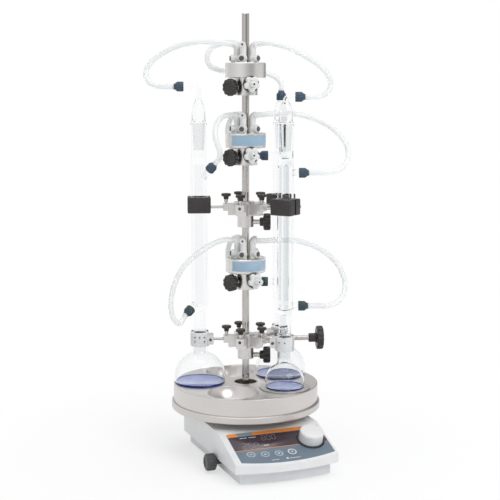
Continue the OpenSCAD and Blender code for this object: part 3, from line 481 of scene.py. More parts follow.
HOSE_R = 4.25
HOSES = {
    "gas_hose_left": (0.221, [
        (-20, 6.5, 675), (-38, 12.5, 678), (-58, 20, 679.5), (-78, 30, 678.5),
        (-97, 42, 674), (-115, 53, 666), (-131, 62, 655), (-143, 67, 642), (-148, 67, 629),
        (-146, 61, 617), (-138, 52, 610), (-126, 42, 608), (-112.5, 36.5, 608)]),
    "gas_hose_front": (0.197, [
        (12.5, -17, 675), (22, -30, 677), (37, -42, 674.5), (54, -53, 668.5),
        (70, -62, 660), (85, -71, 650), (98, -79, 639), (107, -85, 627), (111, -88, 614.5),
        (109, -87, 602.5), (101, -84, 595), (90, -79, 592), (76, -73.5, 592)]),
    "gas_hose_back": (0.234, [
        (0, 21, 675), (-3, 35, 678), (-11, 49, 679.5), (-24, 59, 677), (-38, 63, 668),
        (-44, 63, 655), (-40, 63, 643), (-27, 63, 636), (-10, 63, 633), (8, 62, 632),
        (26, 58, 632), (42, 51, 631), (57, 41, 628), (68, 31, 621), (73, 25, 612),
        (73, 23.5, 603)]),
    "upper_hose_left": (0.105, [
        (-20, 6.5, 562), (-32, 9.5, 561), (-43, 8.5, 554), (-50, 4, 543), (-53, -1, 530),
        (-51, -6, 515), (-48, -9.5, 502), (-48.5, -6.5, 492), (-52.5, -1.5, 485.5)]),
    "upper_hose_front": (0.269, [
        (12.5, -17, 562), (22, -29, 563.5), (37, -35, 565), (54, -36, 565), (71, -35, 564),
        (89, -36, 561), (107, -41, 555), (124, -49, 546), (138, -59, 533), (147, -70, 517),
        (148, -79, 499), (140, -85, 484), (126, -87, 475), (111, -86, 471.5),
        (96, -81.5, 471), (82, -76, 471)]),
    "upper_hose_back": (0.132, [
        (0, 21, 562), (-2, 35, 562.5), (-5, 49, 557), (-8, 58, 545), (-9, 61, 530),
        (-6, 59, 514), (2, 54, 501), (16, 46, 494), (36, 38, 493)]),
    "lower_hose_left": (0.226, [
        (-20, 6.5, 357), (-34, 9, 357.5), (-50, 6.5, 354), (-66, 3, 348), (-82, 1, 339),
        (-98, 1, 327), (-111, 2.5, 312), (-120, 4.5, 294), (-126, 5, 275), (-129, 4, 257),
        (-128, 2.5, 242), (-123.5, 1.5, 230), (-116, 2.5, 224.5), (-109, 6, 227.5),
        (-103, 10, 234.5)]),
    "lower_hose_front": (0.271, [
        (12.5, -17, 357), (22, -29, 358), (37, -35, 359), (54, -36, 358.5), (71, -35, 357),
        (89, -36, 353), (107, -41, 346), (124, -49, 335), (137, -60, 320), (144, -71, 302),
        (144, -80, 283), (136, -86, 267), (123, -88, 257.5), (109, -86.5, 254),
        (96, -81.5, 254), (82, -76, 254)]),
    "lower_hose_back": (0.142, [
        (0, 21, 357), (-2, 35, 357.5), (-5, 49, 352), (-8, 58, 340), (-9, 61, 325),
        (-8, 60, 309), (-4, 57, 294), (4, 52, 283), (18, 45, 279), (36, 38, 279)]),
}

for node, (length, route) in HOSES.items():
    curve = bpy.data.curves.new(node + "_tube", "CURVE")
    curve.dimensions = "3D"
    curve.bevel_depth = HOSE_R * MM
    curve.bevel_resolution = 6
    curve.resolution_u = 6
    curve.use_fill_caps = True
    spline = curve.splines.new("BEZIER")
    spline.bezier_points.add(len(route) - 1)
    for knot, spot in zip(spline.bezier_points, route):
        knot.co = metres(spot)
        knot.handle_left_type = knot.handle_right_type = "AUTO"
    hose = bpy.data.objects.new(node + "_tube", curve)
    bpy.context.scene.collection.objects.link(hose)
    curve.materials.append(SILICONE)
    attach(hose, "station")
    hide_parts(node)

# ---------- control panel ----------


KEY_FIRST, KEY_PITCH = -53.5, 22.5
KEY_LINE, KEY_ARC = 71, 311.43
PRINT_LOW, PRINT_HIGH = -0.34, -0.26
KEY_PRINT_LOW, KEY_PRINT_HIGH = -0.02, 0.05


def key_spot(number):
    """The keys stand on a shallow arc."""
    x = KEY_FIRST + KEY_PITCH * number
    return slope(x, KEY_LINE - (KEY_ARC - math.sqrt(KEY_ARC ** 2 - x * x)), 0)


def panel_prints():
    """Stripe, line and lettering marks of the foil, and the readout of the display."""
    shape = Shape()
    face = slope(0, 0, 0)
    orange, patch, readout, pale = range(4)
    left, right, stripe, line = -75.5, 82.5, (17.5, 9.3), (54.8, 53.7)
    marks = [(left, -58, *stripe, orange), (-32.5, right, *stripe, orange),
             (-58, -32.5, *stripe, patch), (left, 33, *line, orange),
             (77.5, right, *line, orange), (-57, -45, 23.5, 22.3, pale),
             (-42, -30, 23.5, 22.3, pale), (-25, -16, 47.5, 46, pale),
             (-26, -14, 86.2, 85, pale), (-1, 2.2, 87, 83.2, pale),
             (4, 22, 86.2, 85, pale), (69, 72, 62, 61, pale)]
    for x0, x1, v0, v1, colour in marks:
        shape.add(bar(x0, -v0, x1, -v1, PRINT_LOW, PRINT_HIGH), face, colour)
    for x, v, tall, digits in ((-60, 51, 14, (2, 5, 0)), (-22, 33.5, 12, (8, 0, 0))):
        for digit in digits:
            for part in segments(digit, tall):
                outline = [(x + px, -v + py) for px, py in part]
                shape.add(plate(outline, PRINT_LOW, PRINT_HIGH), face, readout)
            x += tall * 0.72
    shape.build("panel_prints", "root", [ORANGE, PATCH, READOUT, PALE], "panel_foil")


def segments(digit, tall):
    """Outlines of the lit bars of a seven-segment digit, its foot at (0, 0)."""
    lit = {0: "abcdef", 2: "abged", 5: "afgcd", 8: "abcdefg"}[digit]
    wide, half, slant = tall * 0.46, tall / 2, 0.1
    thick = tall * 0.085
    lines = {"a": (0, tall, wide, tall), "g": (0, half, wide, half), "d": (0, 0, wide, 0),
             "b": (wide, half, wide, tall), "c": (wide, 0, wide, half),
             "e": (0, 0, 0, half), "f": (0, half, 0, tall)}
    for name in lit:
        x0, y0, x1, y1 = lines[name]
        gap = thick * 0.7
        if y0 == y1:
            part = [(x0 + gap, y0 - thick / 2), (x1 - gap, y0 - thick / 2),
                    (x1 - gap, y0 + thick / 2), (x0 + gap, y0 + thick / 2)]
        else:
            part = [(x0 - thick / 2, y0 + gap), (x0 + thick / 2, y0 + gap),
                    (x0 + thick / 2, y1 - gap), (x0 - thick / 2, y1 - gap)]
        yield [(x + slant * y, y) for x, y in part]


def key_prints():
    """A ring and a plain mark on each key; the last key's ring is the widest."""
    for k in range(4):
        shape = Shape()
        wide = 1.7 if k == 3 else 0.75
        outer = 7.0 if k == 3 else 6.4
        inner = outer - wide
        shape.add(revolve([(inner, KEY_PRINT_LOW), (outer, KEY_PRINT_LOW),
                           (outer, KEY_PRINT_HIGH), (inner, KEY_PRINT_HIGH)],
                          48, ring=True), key_spot(k))
        glyph = {0: [(-2.6, -0.4), (2.6, -0.4), (2.6, 0.4), (-2.6, 0.4)],
                 1: [(-2.1, -1.4), (2.1, -1.4), (0, 2.1)],
                 2: [(-2.1, 1.4), (0, -2.1), (2.1, 1.4)],
                 3: circle(1.5, 20)}[k]
        shape.add(plate(glyph, KEY_PRINT_LOW, KEY_PRINT_HIGH), key_spot(k))
        shape.build(f"key_print_{k + 1}", f"key_{k + 1}", [PALE], "key_plastic")


def control_knob():
    """White domed knob on its shaft, and the dark ring round its foot."""
    place = slope(55, 47, 0)
    dome = [(0, -12), (3, -12), (3, 1), (18.6, 1)] + arc(18.7, 1.8, 0.8, -90, 0, 4)
    dome += arc(15.3, 14.9, 3.9, 0, 80, 8) + [(9, 19.3), (0, 19.4)]
    shape = Shape().add(revolve(dome, 96), place)
    shape.build("control_knob_dome", "control_knob", [KNOB_WHITE], "white_knob",
                ["control_knob"])
    # Dark ring round the knob's foot.
    skirt = [(19.9, -0.34), (22.9, -0.34), (22.9, 0.1), (22.3, 0.5), (20.4, 0.5), (19.9, 0.1)]
    shape = Shape().add(revolve(skirt, 96, ring=True), place)
    shape.build("knob_foot_ring", "root", [KNOB_FOOT_RING], "display_glass")


panel_prints()
key_prints()
control_knob()

# ---------- knobs, screws and handle ----------

MANIFOLD_KNOB_DROP = 39
INLET_DROP = 34


def head(radius, length, dish=0.9, edge=2.8):
    """Profile of a knob's head, from its flat back to its slightly dished front."""
    return ([(0, 0), (radius - edge, 0)] + arc(radius - edge, edge, edge, -90, 0)
            + arc(radius - edge, length - edge, edge, 0, 90)
            + [(radius * 0.58, length), (radius * 0.5, length - dish), (0, length - dish)])


def clamp_knob(name, angle, z, root):
    """Lobed knob on a screw that points at the rod; root is where its boss begins."""
    place = radial(angle, z)
    shape = Shape()
    shape.add(revolve([(0, 6.3), (3.4, 6.3), (4, 6.9), (4, root + 1), (0, root + 1)], 32),
              place, 1)
    boss = [(0, root + 0.3), (6, root + 0.3), (7, root + 1.3), (7, root + 4.4),
            (7.8, root + 6.4), (0, root + 6.4)]
    shape.add(revolve(boss, 48), place)
    shape.add(revolve(head(14, 12), 120, lobes=(10, 1.7, 9, 14)),
              place @ move(0, 0, root + 6.3))
    shape.build(name + "_lobed", name, [BLACK, SATIN], "black_knob", [name])


def side_knob():
    """Knob on the left side of the housing."""
    place = move(-88, -92, 16) @ turn(-90, "Y")
    shape = Shape()
    shape.add(revolve([(0, -22.5), (3.4, -22.5), (4, -21.9), (4, -9.4), (0, -9.4)], 32), place, 1)
    shape.add(revolve([(0, -10.5), (4.6, -10.5), (5, -10), (5, 0.6), (0, 0.6)], 40), place)
    shape.add(revolve(head(14, 16, 1.2, 4), 120, lobes=(10, 1.3, 8, 14)), place)
    shape.build("side_clamp_knob_lobed", "side_clamp_knob", [DARK, SATIN], "dark_knob",
                ["side_clamp_knob"])


def thumbscrews(node, body, level):
    """Five mushroom heads on dark necks, with their metal screws."""
    shape = Shape()
    cap = [(0, 12.5), (3.4, 12.5), (3.9, 13.1), (4.1, 15.8), (5, 17.2), (7.2, 18)]
    cap += arc(6.9, 19.2, 1.1, -60, 0, 3) + [(8, 20.6)] + arc(6.6, 20.9, 1.4, 10, 80, 4)
    cap += [(4.6, 22.5), (4, 22.1), (0, 22.1)]
    for angle in OUTLETS:
        place = turn(angle) @ move(32, 0, level)
        shape.add(revolve(cap, 96, lobes=(12, 0.5, 5, 8)), place)
        screw = [(0, 2.6), (1.5, 2.6), (1.5, 8), (2.6, 8), (3, 8.4), (3, 12.8), (0, 12.8)]
        shape.add(revolve(screw, 32), place, 1)
    shape.build(node + "_round", body, [BLACK, SATIN], "black_knob", [node])


def lift_handle():
    """Large lobed knob on a long bar, to lift the block."""
    place = radial(-16, 190)
    shape = Shape()
    shape.add(revolve([(0, 12), (3.6, 12), (4, 12.4), (4, 107), (0, 107)], 40), place, 1)
    boss = [(0, 106), (6.4, 106), (7.5, 107.1), (7.5, 117), (9.5, 119.2), (0, 119.2)]
    shape.add(revolve(boss, 96, lobes=(8, 0.7, 5, 7.5)), place)
    shape.add(revolve(head(20, 11, 1.1, 3), 144, lobes=(12, 1.8, 13, 20)),
              place @ move(0, 0, 119))
    shape.build("lift_handle_lobed", "station", [BLACK, POLISHED], "black_knob",
                ["lift_handle"])


clamp_knob("lower_hub_knob", -21, 163, 23)
clamp_knob("upper_hub_knob", -21, 387, 23)
for kind, level in LEVELS.items():
    clamp_knob(kind + "_clamp_knob", 204, level - MANIFOLD_KNOB_DROP, 22)
side_knob()
thumbscrews("lower_thumbscrews", "station", FLASK_CLAMP_Z)
thumbscrews("upper_thumbscrews", "upper_clamp", ARM_Z)
lift_handle()

# ---------- clamps ----------


def flask_clamps():
    """Split white collars with their pins, metal grips and rods."""
    shape = Shape()
    for angle in POSITIONS.values():
        place = well(angle) @ move(0, 0, FLASK_CLAMP_Z)
        collar = [(12.8, -10.4), (13.4, -11), (15.1, -11), (15.7, -10.4), (15.7, -6), (15.2, -5.6),
                  (15.2, -4.8), (15.7, -4.4), (15.7, 10.4), (15.1, 11), (13.4, 11), (12.8, 10.4)]
        shape.add(sector(collar, 6, 354, 72), place)
        grip = [(-22.7, -10), (-12.2, -10)]
        grip += [(15.75 * math.cos(a), 15.75 * math.sin(a))
                 for a in (math.radians(219.4 - k * 78.8 / 12) for k in range(13))]
        grip += [(-12.2, 10), (-22.7, 10)]
        shape.add(plate(grip, -8, 8), place, 1)
        for side in (-1, 1):
            shape.add(revolve([(0, 0), (2.4, 0), (2.4, 1.3), (2, 1.7), (0, 1.7)], 24),
                      place @ move(-17.5, 10 * side, 0) @ turn(-90 * side, "X"), 2)
        for spin, high in ((58, 5), (58, -2), (88, 5), (118, 5), (118, -2), (-60, 4), (-95, 4)):
            shape.add(revolve([(0, -0.4), (1.2, -0.4), (1.2, 0.5), (0.9, 0.8), (0, 0.8)], 16),
                      place @ turn(spin) @ move(15.7, 0, high) @ turn(90, "Y"), 2)
        shape.add(revolve([(0, 18), (2.2, 18), (2.5, 18.3), (2.5, 53.8), (0, 53.8)], 32),
                  radial(angle, FLASK_CLAMP_Z), 1)
    shape.build("flask_clamps_round", "station", [COLLAR, SATIN, SPINDLE_AND_SHADE], "clamp_steel",
                ["flask_clamps"], bevel=0.35)


def condenser_clamps():
    """Split black jaws with rounded corners, and the rods that hold them."""
    shape = Shape()
    outline = [(19, 2)]
    for x, y, start in ((15, 14, 0), (-15, 14, 90), (-15, -14, 180), (15, -14, 270)):
        outline += arc(x, y, 4, start, start + 90, 6)
    lip = math.degrees(math.asin(2 / 13.8))
    outline += [(19, -2)] + arc(0, 0, 13.8, 360 - lip, lip, 48)
    liner = arc(0, 0, 16, lip + 4, 356 - lip, 40) + arc(0, 0, 13.85, 356 - lip, lip + 4, 40)
    for angle in POSITIONS.values():
        place = well(angle) @ move(0, 0, JAW_Z)
        shape.add(bevelled_plate(outline, -13, 13, 1.6), place)
        shape.add(plate(liner, 12.6, 13.15), place, 2)
        for side in (-1, 1):
            shape.add(revolve([(0, 0), (3.4, 0), (3.4, 1.6), (2.9, 2.1), (0, 2.1)], 32),
                      place @ move(14.5, 17.2 * side, 0) @ turn(-90 * side, "X"), 0)
        shape.add(revolve([(0, 18), (2.2, 18), (2.5, 18.3), (2.5, 57.6), (0, 57.6)], 32),
                  radial(angle, ARM_Z), 1)
    shape.build("condenser_clamps_round", "upper_clamp", [JAW, SATIN, LINER], "black_plastic",
                ["condenser_clamps"])


flask_clamps()
condenser_clamps()

# ---------- taps, outlets and labels of the manifolds ----------


def inlet_tap(kind, angle):
    """Nozzle with a five-lobed white grip round it, and a dark ring behind the grip that is painted
    shade.
    """
    place = radial(angle, LEVELS[kind] - INLET_DROP)
    shape = Shape()
    spigot = [(1.8, 13.3), (3.6, 13.3), (4, 13.7), (4, 20.5), (5.9, 20.5), (6.5, 21.1), (6.5, 34.2),
              (1.8, 34.2)]
    shape.add(revolve(spigot, 48, ring=True), place, 1)
    # Dark ring behind the grip: painted shade in the gap between grip and valve body.
    shape.add(revolve([(4, 32.6), (13, 32.6), (13.4, 33), (13.4, 34), (13, 34.3), (4, 34.3)], 64,
                      ring=True), place, 2)
    grip = [(1.8, 34.2), (10, 34.2)] + arc(10.6, 36.7, 2.4, -90, 0, 5)
    grip += arc(10.4, 40.4, 2.6, 0, 90, 5) + [(6.4, 43), (5.6, 42.2), (1.8, 42.2)]
    shape.add(revolve(grip, 120, lobes=(5, 3.4, 5, 13), ring=True), place)
    nozzle = [(1.8, 42), (4.5, 42), (4.5, 45.7), (4.2, 46.2), (3.9, 47.4), (4.15, 48), (3.5, 49.8),
              (3.8, 50.3), (3.2, 52), (3.5, 52.5), (2.9, 54), (1.8, 54)]
    shape.add(revolve(nozzle, 40, ring=True), place, 1)
    name = kind + "_inlet_tap"
    shape.build(name + "_lobed", name, [TAP, PTFE, SPINDLE_AND_SHADE], "white_ptfe", [name])


def outlets():
    """Fifteen valve bodies, each with its elbow and dark spindle."""
    shape = Shape()
    bend = 5.3
    riser = [(0, 0, 5.5), (0, 0, 12), (0, 0, 18), (0, 0, 23.2)]
    riser += [(bend - bend * math.cos(a), 0, 23.7 + bend * math.sin(a))
              for a in (math.radians(90 * k / 8) for k in range(9))] + [(7, 0, 29)]
    foot = [(0, -0.2), (6, -0.2), (6, 1.2), (5.6, 1.6), (5.6, 5.4), (6, 5.8), (6, 6.6), (5.6, 7),
            (0, 7)]
    barrel = [(2, 11.5), (5.8, 11.5), (6.4, 12.1), (6.4, 16.8), (6, 17.2), (6, 18), (6.4, 18.4),
              (6.4, 23.4), (5.8, 24), (2, 24)]
    spindle = [(0, 22), (4, 22), (4, 25.5), (3.5, 26), (1.4, 26), (1.2, 25.4), (0, 25.4)]
    for level in LEVELS.values():
        for angle in OUTLETS:
            up = turn(angle) @ move(14, 0, level)
            out = turn(angle) @ move(0, 0, level + 7) @ turn(90, "Y")
            shape.add(revolve(foot, 40), up)
            shape.add(pipe(riser, 5, 2, 28), up)
            shape.add(revolve(barrel, 48, ring=True), out)
            shape.add(revolve(spindle, 32), out, 1)
    shape.build("outlets_round", "station", [PTFE, SPINDLE_AND_SHADE], "white_ptfe", ["outlet_elbows"])


def labels():
    """Blank blue bands round the front of the two water manifolds."""
    for kind in ("middle", "lower"):
        top = LEVELS[kind]
        band = [(33.02, top - 19.5), (33.16, top - 19.5), (33.16, top - 3), (33.02, top - 3)]
        shape = Shape().add(sector(band, -152, 6, 90))
        shape.build(kind + "_label", "station", [LABEL], "manifold_steel")


for kind, angle in (("top", 264), ("middle", 264), ("lower", 274)):
    inlet_tap(kind, angle)
outlets()
labels()

# ---------- glassware ----------

# Side ports of each condenser, lower then upper: angle, height, tilt
PORTS = {"left": ((42, 258, -35), (147, 453, 45)), "front": ((33, 254, 0), (33, 471, 0)),
         "back": ((141, 279, 0), (141, 493, 0))}
# Adaptors: top of the glass; then angle of the side arm, where its tube starts, its
# rise, bend and reach
ADAPTOR_TOPS = {"left": 589, "front": 585, "back": 585}
ADAPTOR_ARMS = {"left": (0, 588, 10, 10, 14), "front": (33, 584, 1.5, 6.5, 8.5)}
# Flasks: radius and height of the bulb, length of the stirring bar
BULBS = {"left": (42.5, 128, 26), "front": (32.5, 127.5, 20), "back": (42.5, 128, 26)}
RIM = 206
LIQUID = 119.5
BAR_R = 3.5


def shoulder(radius, height, neck, blend):
    """Where a fillet of radius blend joins a bulb to its neck: centre height and angle."""
    rise = math.sqrt((radius + blend) ** 2 - (neck + blend) ** 2)
    return height + rise, math.degrees(math.atan2(rise, neck + blend))


def bar_lift(radius, length):
    """How far below the bulb's centre a stirring bar rests."""
    return math.sqrt((radius - 1.5) ** 2 - (length / 2) ** 2 - BAR_R ** 2) - 0.3


def flask(name):
    """Round-bottomed flask with a rolled rim; the profile goes up outside and back inside."""
    radius, height, _ = BULBS[name]
    top, angle = shoulder(radius, height, 12.5, 7)
    profile = arc(0, height, radius, -90, angle, 40)
    profile += arc(19.5, top, 7, 180 + angle, 180, 10)
    profile += [(12.5, RIM - 5)] + arc(12.9, RIM - 1.7, 1.7, -70, 80, 7) + [(12, RIM)]
    profile += [(10.9, RIM - 0.1), (10.3, RIM - 0.8)]
    top, angle = shoulder(radius - 1.5, height, 10.3, 8.4)
    profile += arc(18.7, top, 8.4, 180, 180 + angle, 10)
    profile += arc(0, height, radius - 1.5, angle, -90, 40)
    profile[0], profile[-1] = (0, profile[0][1]), (0, profile[-1][1])
    shape = Shape().add(revolve(profile, 96), well(POSITIONS[name]))
    shape.build(f"flask_{name}_glass", "station", [GLASS], "borosilicate", [f"flask_{name}"])


def port_reach(tilt):
    """Length of a side port, so that its cap clears the jacket."""
    tilt = math.radians(abs(tilt))
    return max(21.5, (13.8 + 8 * math.sin(tilt)) / math.cos(tilt) + 0.2)


def condenser(name):
    """Jacketed condenser with ground joint. Its long inner bore is left closed."""
    place = well(POSITIONS[name])
    wall = [(0, 241), (5.6, 239.5), (8.4, 236.5), (8.9, 233), (8.9, 206), (7.8, 166),
            (9.0, 166), (10.2, 206), (10.2, 229), (10.9, 233), (12.4, 238), (13.2, 242),
            (13.5, 246), (13.5, 478), (13.3, 483), (12.6, 488), (12.3, 492), (12.3, 543.5)]
    wall += arc(12.1, 547.3, 1.5, -60, 85, 6) + [(11, 549), (10.4, 548.5), (9.2, 500)]
    wall += [(8.2, 496.5), (6, 493.5), (0, 492.5)]
    shape = Shape().add(revolve(wall, 72), place,
                        lambda spot: 1 if spot[2] < 205 and math.hypot(*spot[:2]) > 8.98 else 0)
    hollow = [(6.5, 248), (9, 247.4), (11, 248.6), (11.9, 251), (12, 254), (12, 474), (11.8, 478),
              (10.6, 482), (9, 483), (6.5, 482)]
    shape.add(revolve(hollow, 72, ring=True), place, 0, True)
    for angle, z, tilt in PORTS[name]:
        reach = port_reach(tilt)
        tube = [(3.5, 12.4), (5.6, 12.4), (5.5, 15), (5.5, reach), (3.5, reach)]
        shape.add(revolve(tube, 36, ring=True), place @ port(angle, z, tilt))
    shape.build(f"condenser_{name}_glass", "station", [TUBE, GROUND], "borosilicate",
                [f"condenser_{name}"])


def gas_adaptors():
    shape = Shape()
    for name, top in ADAPTOR_TOPS.items():
        place = well(POSITIONS[name])
        body = [(7.8, 505), (10.2, 549), (12, 549.3), (12.4, 550), (12.4, 551.6), (11.6, 553),
                (10.9, 555), (10.8, 571), (10.2, 574), (7.6, 580.5), (5.6, 583), (5.2, top),
                (3.2, top), (3.2, 583), (6, 579.5), (9, 572), (9.3, 570), (9.3, 552),
                (8.6, 549), (6.6, 505)]
        shape.add(revolve(body, 64, ring=True), place,
                  lambda spot: 1 if spot[2] < 547 and math.hypot(*spot[:2]) > 8.9 else 0)
    for name, (spin, start, up, bend, out) in ADAPTOR_ARMS.items():
        path = [(0, 0, start), (0, 0, start + up / 2), (0, 0, start + up)]
        path += [(bend - bend * math.cos(a), 0, start + up + bend * math.sin(a))
                 for a in (math.radians(11.25 * k) for k in range(1, 9))]
        path.append((bend + out, 0, start + up + bend))
        shape.add(pipe(path, 4.5, 2.8, 28), well(POSITIONS[name]) @ turn(spin))
    shape.build("gas_adaptors_glass", "station", [GLASS, GROUND], "borosilicate",
                ["gas_adaptors"])


def hose_caps():
    """Ribbed caps with their nozzles: green-grey on the lower ports, blue on the others."""
    blue, green, white = range(3)
    places = []
    for name in POSITIONS:
        for colour, (angle, z, tilt) in zip((green, blue), PORTS[name]):
            places.append((well(POSITIONS[name]) @ port(angle, z, tilt)
                           @ move(0, 0, port_reach(tilt)), colour))
    for name, (spin, start, up, bend, out) in ADAPTOR_ARMS.items():
        places.append((well(POSITIONS[name]) @ move(0, 0, start + up + bend) @ turn(spin)
                       @ move(bend + out, 0, 0) @ turn(90, "Y"), blue))
    places.append((well(POSITIONS["back"]) @ move(0, 0, ADAPTOR_TOPS["back"]), blue))
    ribbed = [(5.6, 0), (7.3, 0), (8, 0.8), (8, 9.8), (7.4, 10.9), (5.3, 13.6), (4.9, 14.2),
              (4.9, 15.6), (4.5, 16), (2.5, 16), (2.5, 1), (5.6, 1)]
    nozzle = [(2.5, 15.5), (4.5, 15.5), (4.5, 17.6), (4.2, 18), (2.5, 18)]
    shape = Shape()
    for place, colour in places:
        shape.add(revolve(ribbed, 96, lobes=(12, 0.8, 6, 8), ring=True), place, colour)
        shape.add(revolve(nozzle, 32, ring=True), place, white)
    shape.build("hose_caps_ribbed", "station", [CAP_BLUE, CAP_GREEN, COLLAR], "blue_cap",
                ["hose_caps"])


def liquids():
    """Liquid up to one level, with a raised rim at the glass and room for the bar below."""
    shape = Shape()
    for name, (radius, height, length) in BULBS.items():
        inside = radius - 1.6
        hole = length / 2 + 0.8
        roof = height - bar_lift(radius, length) + 7.5
        start = -math.degrees(math.acos(hole / inside))
        end = -math.degrees(math.asin((height - LIQUID - 1.2) / inside))
        edge = inside * math.cos(math.radians(end))
        profile = [(0, roof), (hole, roof)] + arc(0, height, inside, start, end, 20)
        profile += [(edge - 0.4, LIQUID + 1), (edge - 1, LIQUID + 0.4), (edge - 2, LIQUID),
                    (0, LIQUID)]
        shape.add(revolve(profile, 96), well(POSITIONS[name]))
    shape.build("liquid_levels", "station", [BLUE], "blue_liquid", ["liquid"])


def stir_bars():
    """Round-ended bars with a low ring round the middle."""
    for name, (radius, height, length) in BULBS.items():
        rest = height - bar_lift(radius, length) + BAR_R
        place = well(POSITIONS[name]) @ move(0, 0, rest) @ turn(90, "Y")
        half = length / 2
        profile = arc(0, -half + BAR_R, BAR_R, -90, 0, 8)
        profile += [(BAR_R, -1.8), (BAR_R + 0.2, -1.4), (BAR_R + 0.2, 1.4), (BAR_R, 1.8)]
        profile += arc(0, half - BAR_R, BAR_R, 0, 90, 8)
        profile[0], profile[-1] = (0, -half), (0, half)
        shape = Shape().add(revolve(profile, 40), place)
        shape.build(f"stir_bar_{name}_round", f"stir_bar_{name}", [PTFE], "bar_ptfe",
                    [f"stir_bar_{name}"])


for name in POSITIONS:
    flask(name)
    condenser(name)
gas_adaptors()
hose_caps()
liquids()
stir_bars()

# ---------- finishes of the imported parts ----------

SHARP = 32
FINISHES = [
    (WHITE, 1.6, ["housing_cover"]),
    (GREY_WHITE, 1.0, ["housing_base"]),
    (FOIL, 0, ["control_panel"]),
    (SCREEN, 0, ["display_window"]),
    (KEYS, 0.25, ["key_1", "key_2", "key_3", "key_4"]),
    (PLATE, 0.6, ["top_plate"]),
    (SATIN, 0, ["stir_motor"]),
    (MAGNET, 0.4, ["drive_magnet"]),
    (BOARD, 0, ["circuit_board"]),
    (BLACK, 0.6, ["power_inlet"]),
    (RUBBER, 0.5, ["feet"]),
    (PLATE, 1.0, ["base_plate"]),
    (CAST, 0.8, ["heating_block"]),
    (INSERT, 0.3, ["flask_insert"]),
    (POLISHED, 0.4, ["support_rod"]),
    (SATIN, 0.7, ["lower_hub", "upper_hub"]),
    (MANIFOLD, 0.7, ["top_manifold", "middle_manifold", "lower_manifold"]),
]


def smooth_node(node, material, width):
    """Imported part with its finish; width is that of its rounded edges in millimetres."""
    piece = nodes[node]
    mesh = piece.data
    mesh.materials.clear()
    mesh.materials.append(material)
    if "custom_normal" in mesh.attributes:
        mesh.attributes.remove(mesh.attributes["custom_normal"])
    mesh.shade_smooth()
    weld = piece.modifiers.new("weld", "WELD")
    weld.merge_threshold = TINY
    if width:
        round_edges(piece, width)
    else:
        split = piece.modifiers.new("split", "EDGE_SPLIT")
        split.split_angle = math.radians(SHARP)


for material, width, names in FINISHES:
    for node in names:
        smooth_node(node, material, width)

# ---------- floor and light ----------


def stage_floor():
    """Pale floor that keeps the shadows and brightens towards the background's white."""
    mesh = bpy.data.meshes.new("floor")
    size = 6.0
    mesh.from_pydata([(-size, -size, 0), (size, -size, 0), (size, size, 0), (-size, size, 0)],
                     [], [(0, 1, 2, 3)])
    floor = bpy.data.objects.new("floor", mesh)
    bpy.context.scene.collection.objects.link(floor)
    n = Nodes("floor")
    n.set(Base_Color=rgb(0.93, 0.93, 0.93), Roughness=0.9, Specular_IOR_Level=0.0)
    reach = n.add("VectorMath", {0: n.place()}, operation="LENGTH").outputs["Value"]
    far = n.span(reach, 0.6, 1.0, 0.14, 0.5)
    path = n.add("LightPath")
    seen = n.math("MAXIMUM", path.outputs["Is Camera Ray"],
                  n.math("MAXIMUM", path.outputs["Is Glossy Ray"],
                         path.outputs["Is Transmission Ray"]))
    glow = n.add("Emission", {"Color": (1, 1, 1, 1), "Strength": 1.0}).outputs[0]
    mix = n.add("MixShader", {0: n.math("MULTIPLY", seen, far), 1: n.shader.outputs[0], 2: glow})
    n.tree.links.new(mix.outputs[0], n.out.inputs["Surface"])
    mesh.materials.append(n.material)


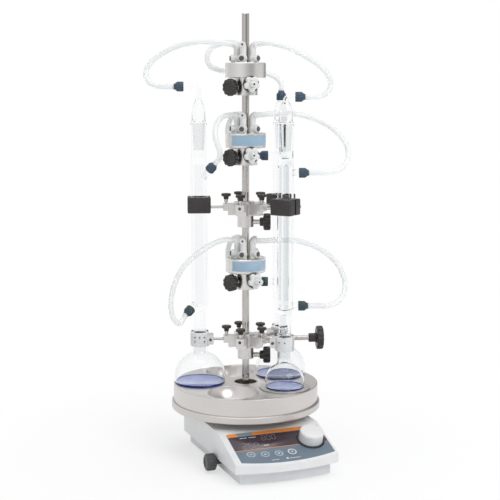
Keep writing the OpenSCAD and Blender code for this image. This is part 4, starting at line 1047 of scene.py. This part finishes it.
def world_light():
    """White where it is seen; soft grey as light; a studio of light and dark in mirrors."""
    world = bpy.data.worlds.new("studio")
    bpy.context.scene.world = world
    world.use_nodes = True
    tree = world.node_tree
    tree.nodes.clear()

    def add(kind, **settings):
        node = tree.nodes.new("ShaderNode" + kind)
        for key, value in settings.items():
            setattr(node, key, value)
        return node

    def join(a, b):
        tree.links.new(a, b)

    direction = add("TexCoord").outputs["Generated"]
    # From a bright left and back to a darker right
    dot = add("VectorMath", operation="DOT_PRODUCT")
    join(direction, dot.inputs[0])
    dot.inputs[1].default_value = (0.93, -0.36, 0.0)
    ramp = add("ValToRGB")
    stops = [(0.0, 0.80), (0.18, 1.0), (0.38, 0.95), (0.55, 0.62), (0.70, 0.42),
             (0.83, 0.30), (0.93, 0.75), (1.0, 0.9)]
    ramp.color_ramp.elements.remove(ramp.color_ramp.elements[0])
    for k, (spot, level) in enumerate(stops):
        element = (ramp.color_ramp.elements[0] if k == 0
                   else ramp.color_ramp.elements.new(spot))
        element.position = spot
        element.color = (level, level, level, 1)
    shift = add("MapRange")
    join(dot.outputs["Value"], shift.inputs["Value"])
    shift.inputs["From Min"].default_value = -1
    join(shift.outputs["Result"], ramp.inputs["Fac"])
    path = add("LightPath")
    plain = add("Background")
    plain.inputs["Color"].default_value = (0.97, 0.985, 1.0, 1)
    plain.inputs["Strength"].default_value = 0.62
    mirror = add("Background")
    join(ramp.outputs["Color"], mirror.inputs["Color"])
    white = add("Background")
    white.inputs["Color"].default_value = (1, 1, 1, 1)
    first = add("MixShader")
    join(path.outputs["Is Glossy Ray"], first.inputs[0])
    join(plain.outputs[0], first.inputs[1])
    join(mirror.outputs[0], first.inputs[2])
    seen = add("Math", operation="MAXIMUM")
    join(path.outputs["Is Camera Ray"], seen.inputs[0])
    join(path.outputs["Is Transmission Ray"], seen.inputs[1])
    second = add("MixShader")
    join(seen.outputs[0], second.inputs[0])
    join(first.outputs[0], second.inputs[1])
    join(white.outputs[0], second.inputs[2])
    out = add("OutputWorld")
    join(second.outputs[0], out.inputs["Surface"])


def softbox(name, spot, aim, size, watts):
    lamp = bpy.data.lights.new(name, "AREA")
    lamp.shape = "RECTANGLE"
    lamp.size, lamp.size_y = size
    lamp.energy = watts
    thing = bpy.data.objects.new(name, lamp)
    bpy.context.scene.collection.objects.link(thing)
    thing.location = spot
    thing.rotation_euler = (Vector(aim) - Vector(spot)).to_track_quat("-Z", "Y").to_euler()


stage_floor()
world_light()
softbox("key_light", (0.6, -1.9, 2.0), (0, 0, 0.25), (1.6, 1.2), 22)
softbox("top_light", (0.1, 0.2, 2.3), (0, 0, 0.2), (1.6, 1.6), 14)
bpy.context.scene.view_settings.view_transform = "Standard"
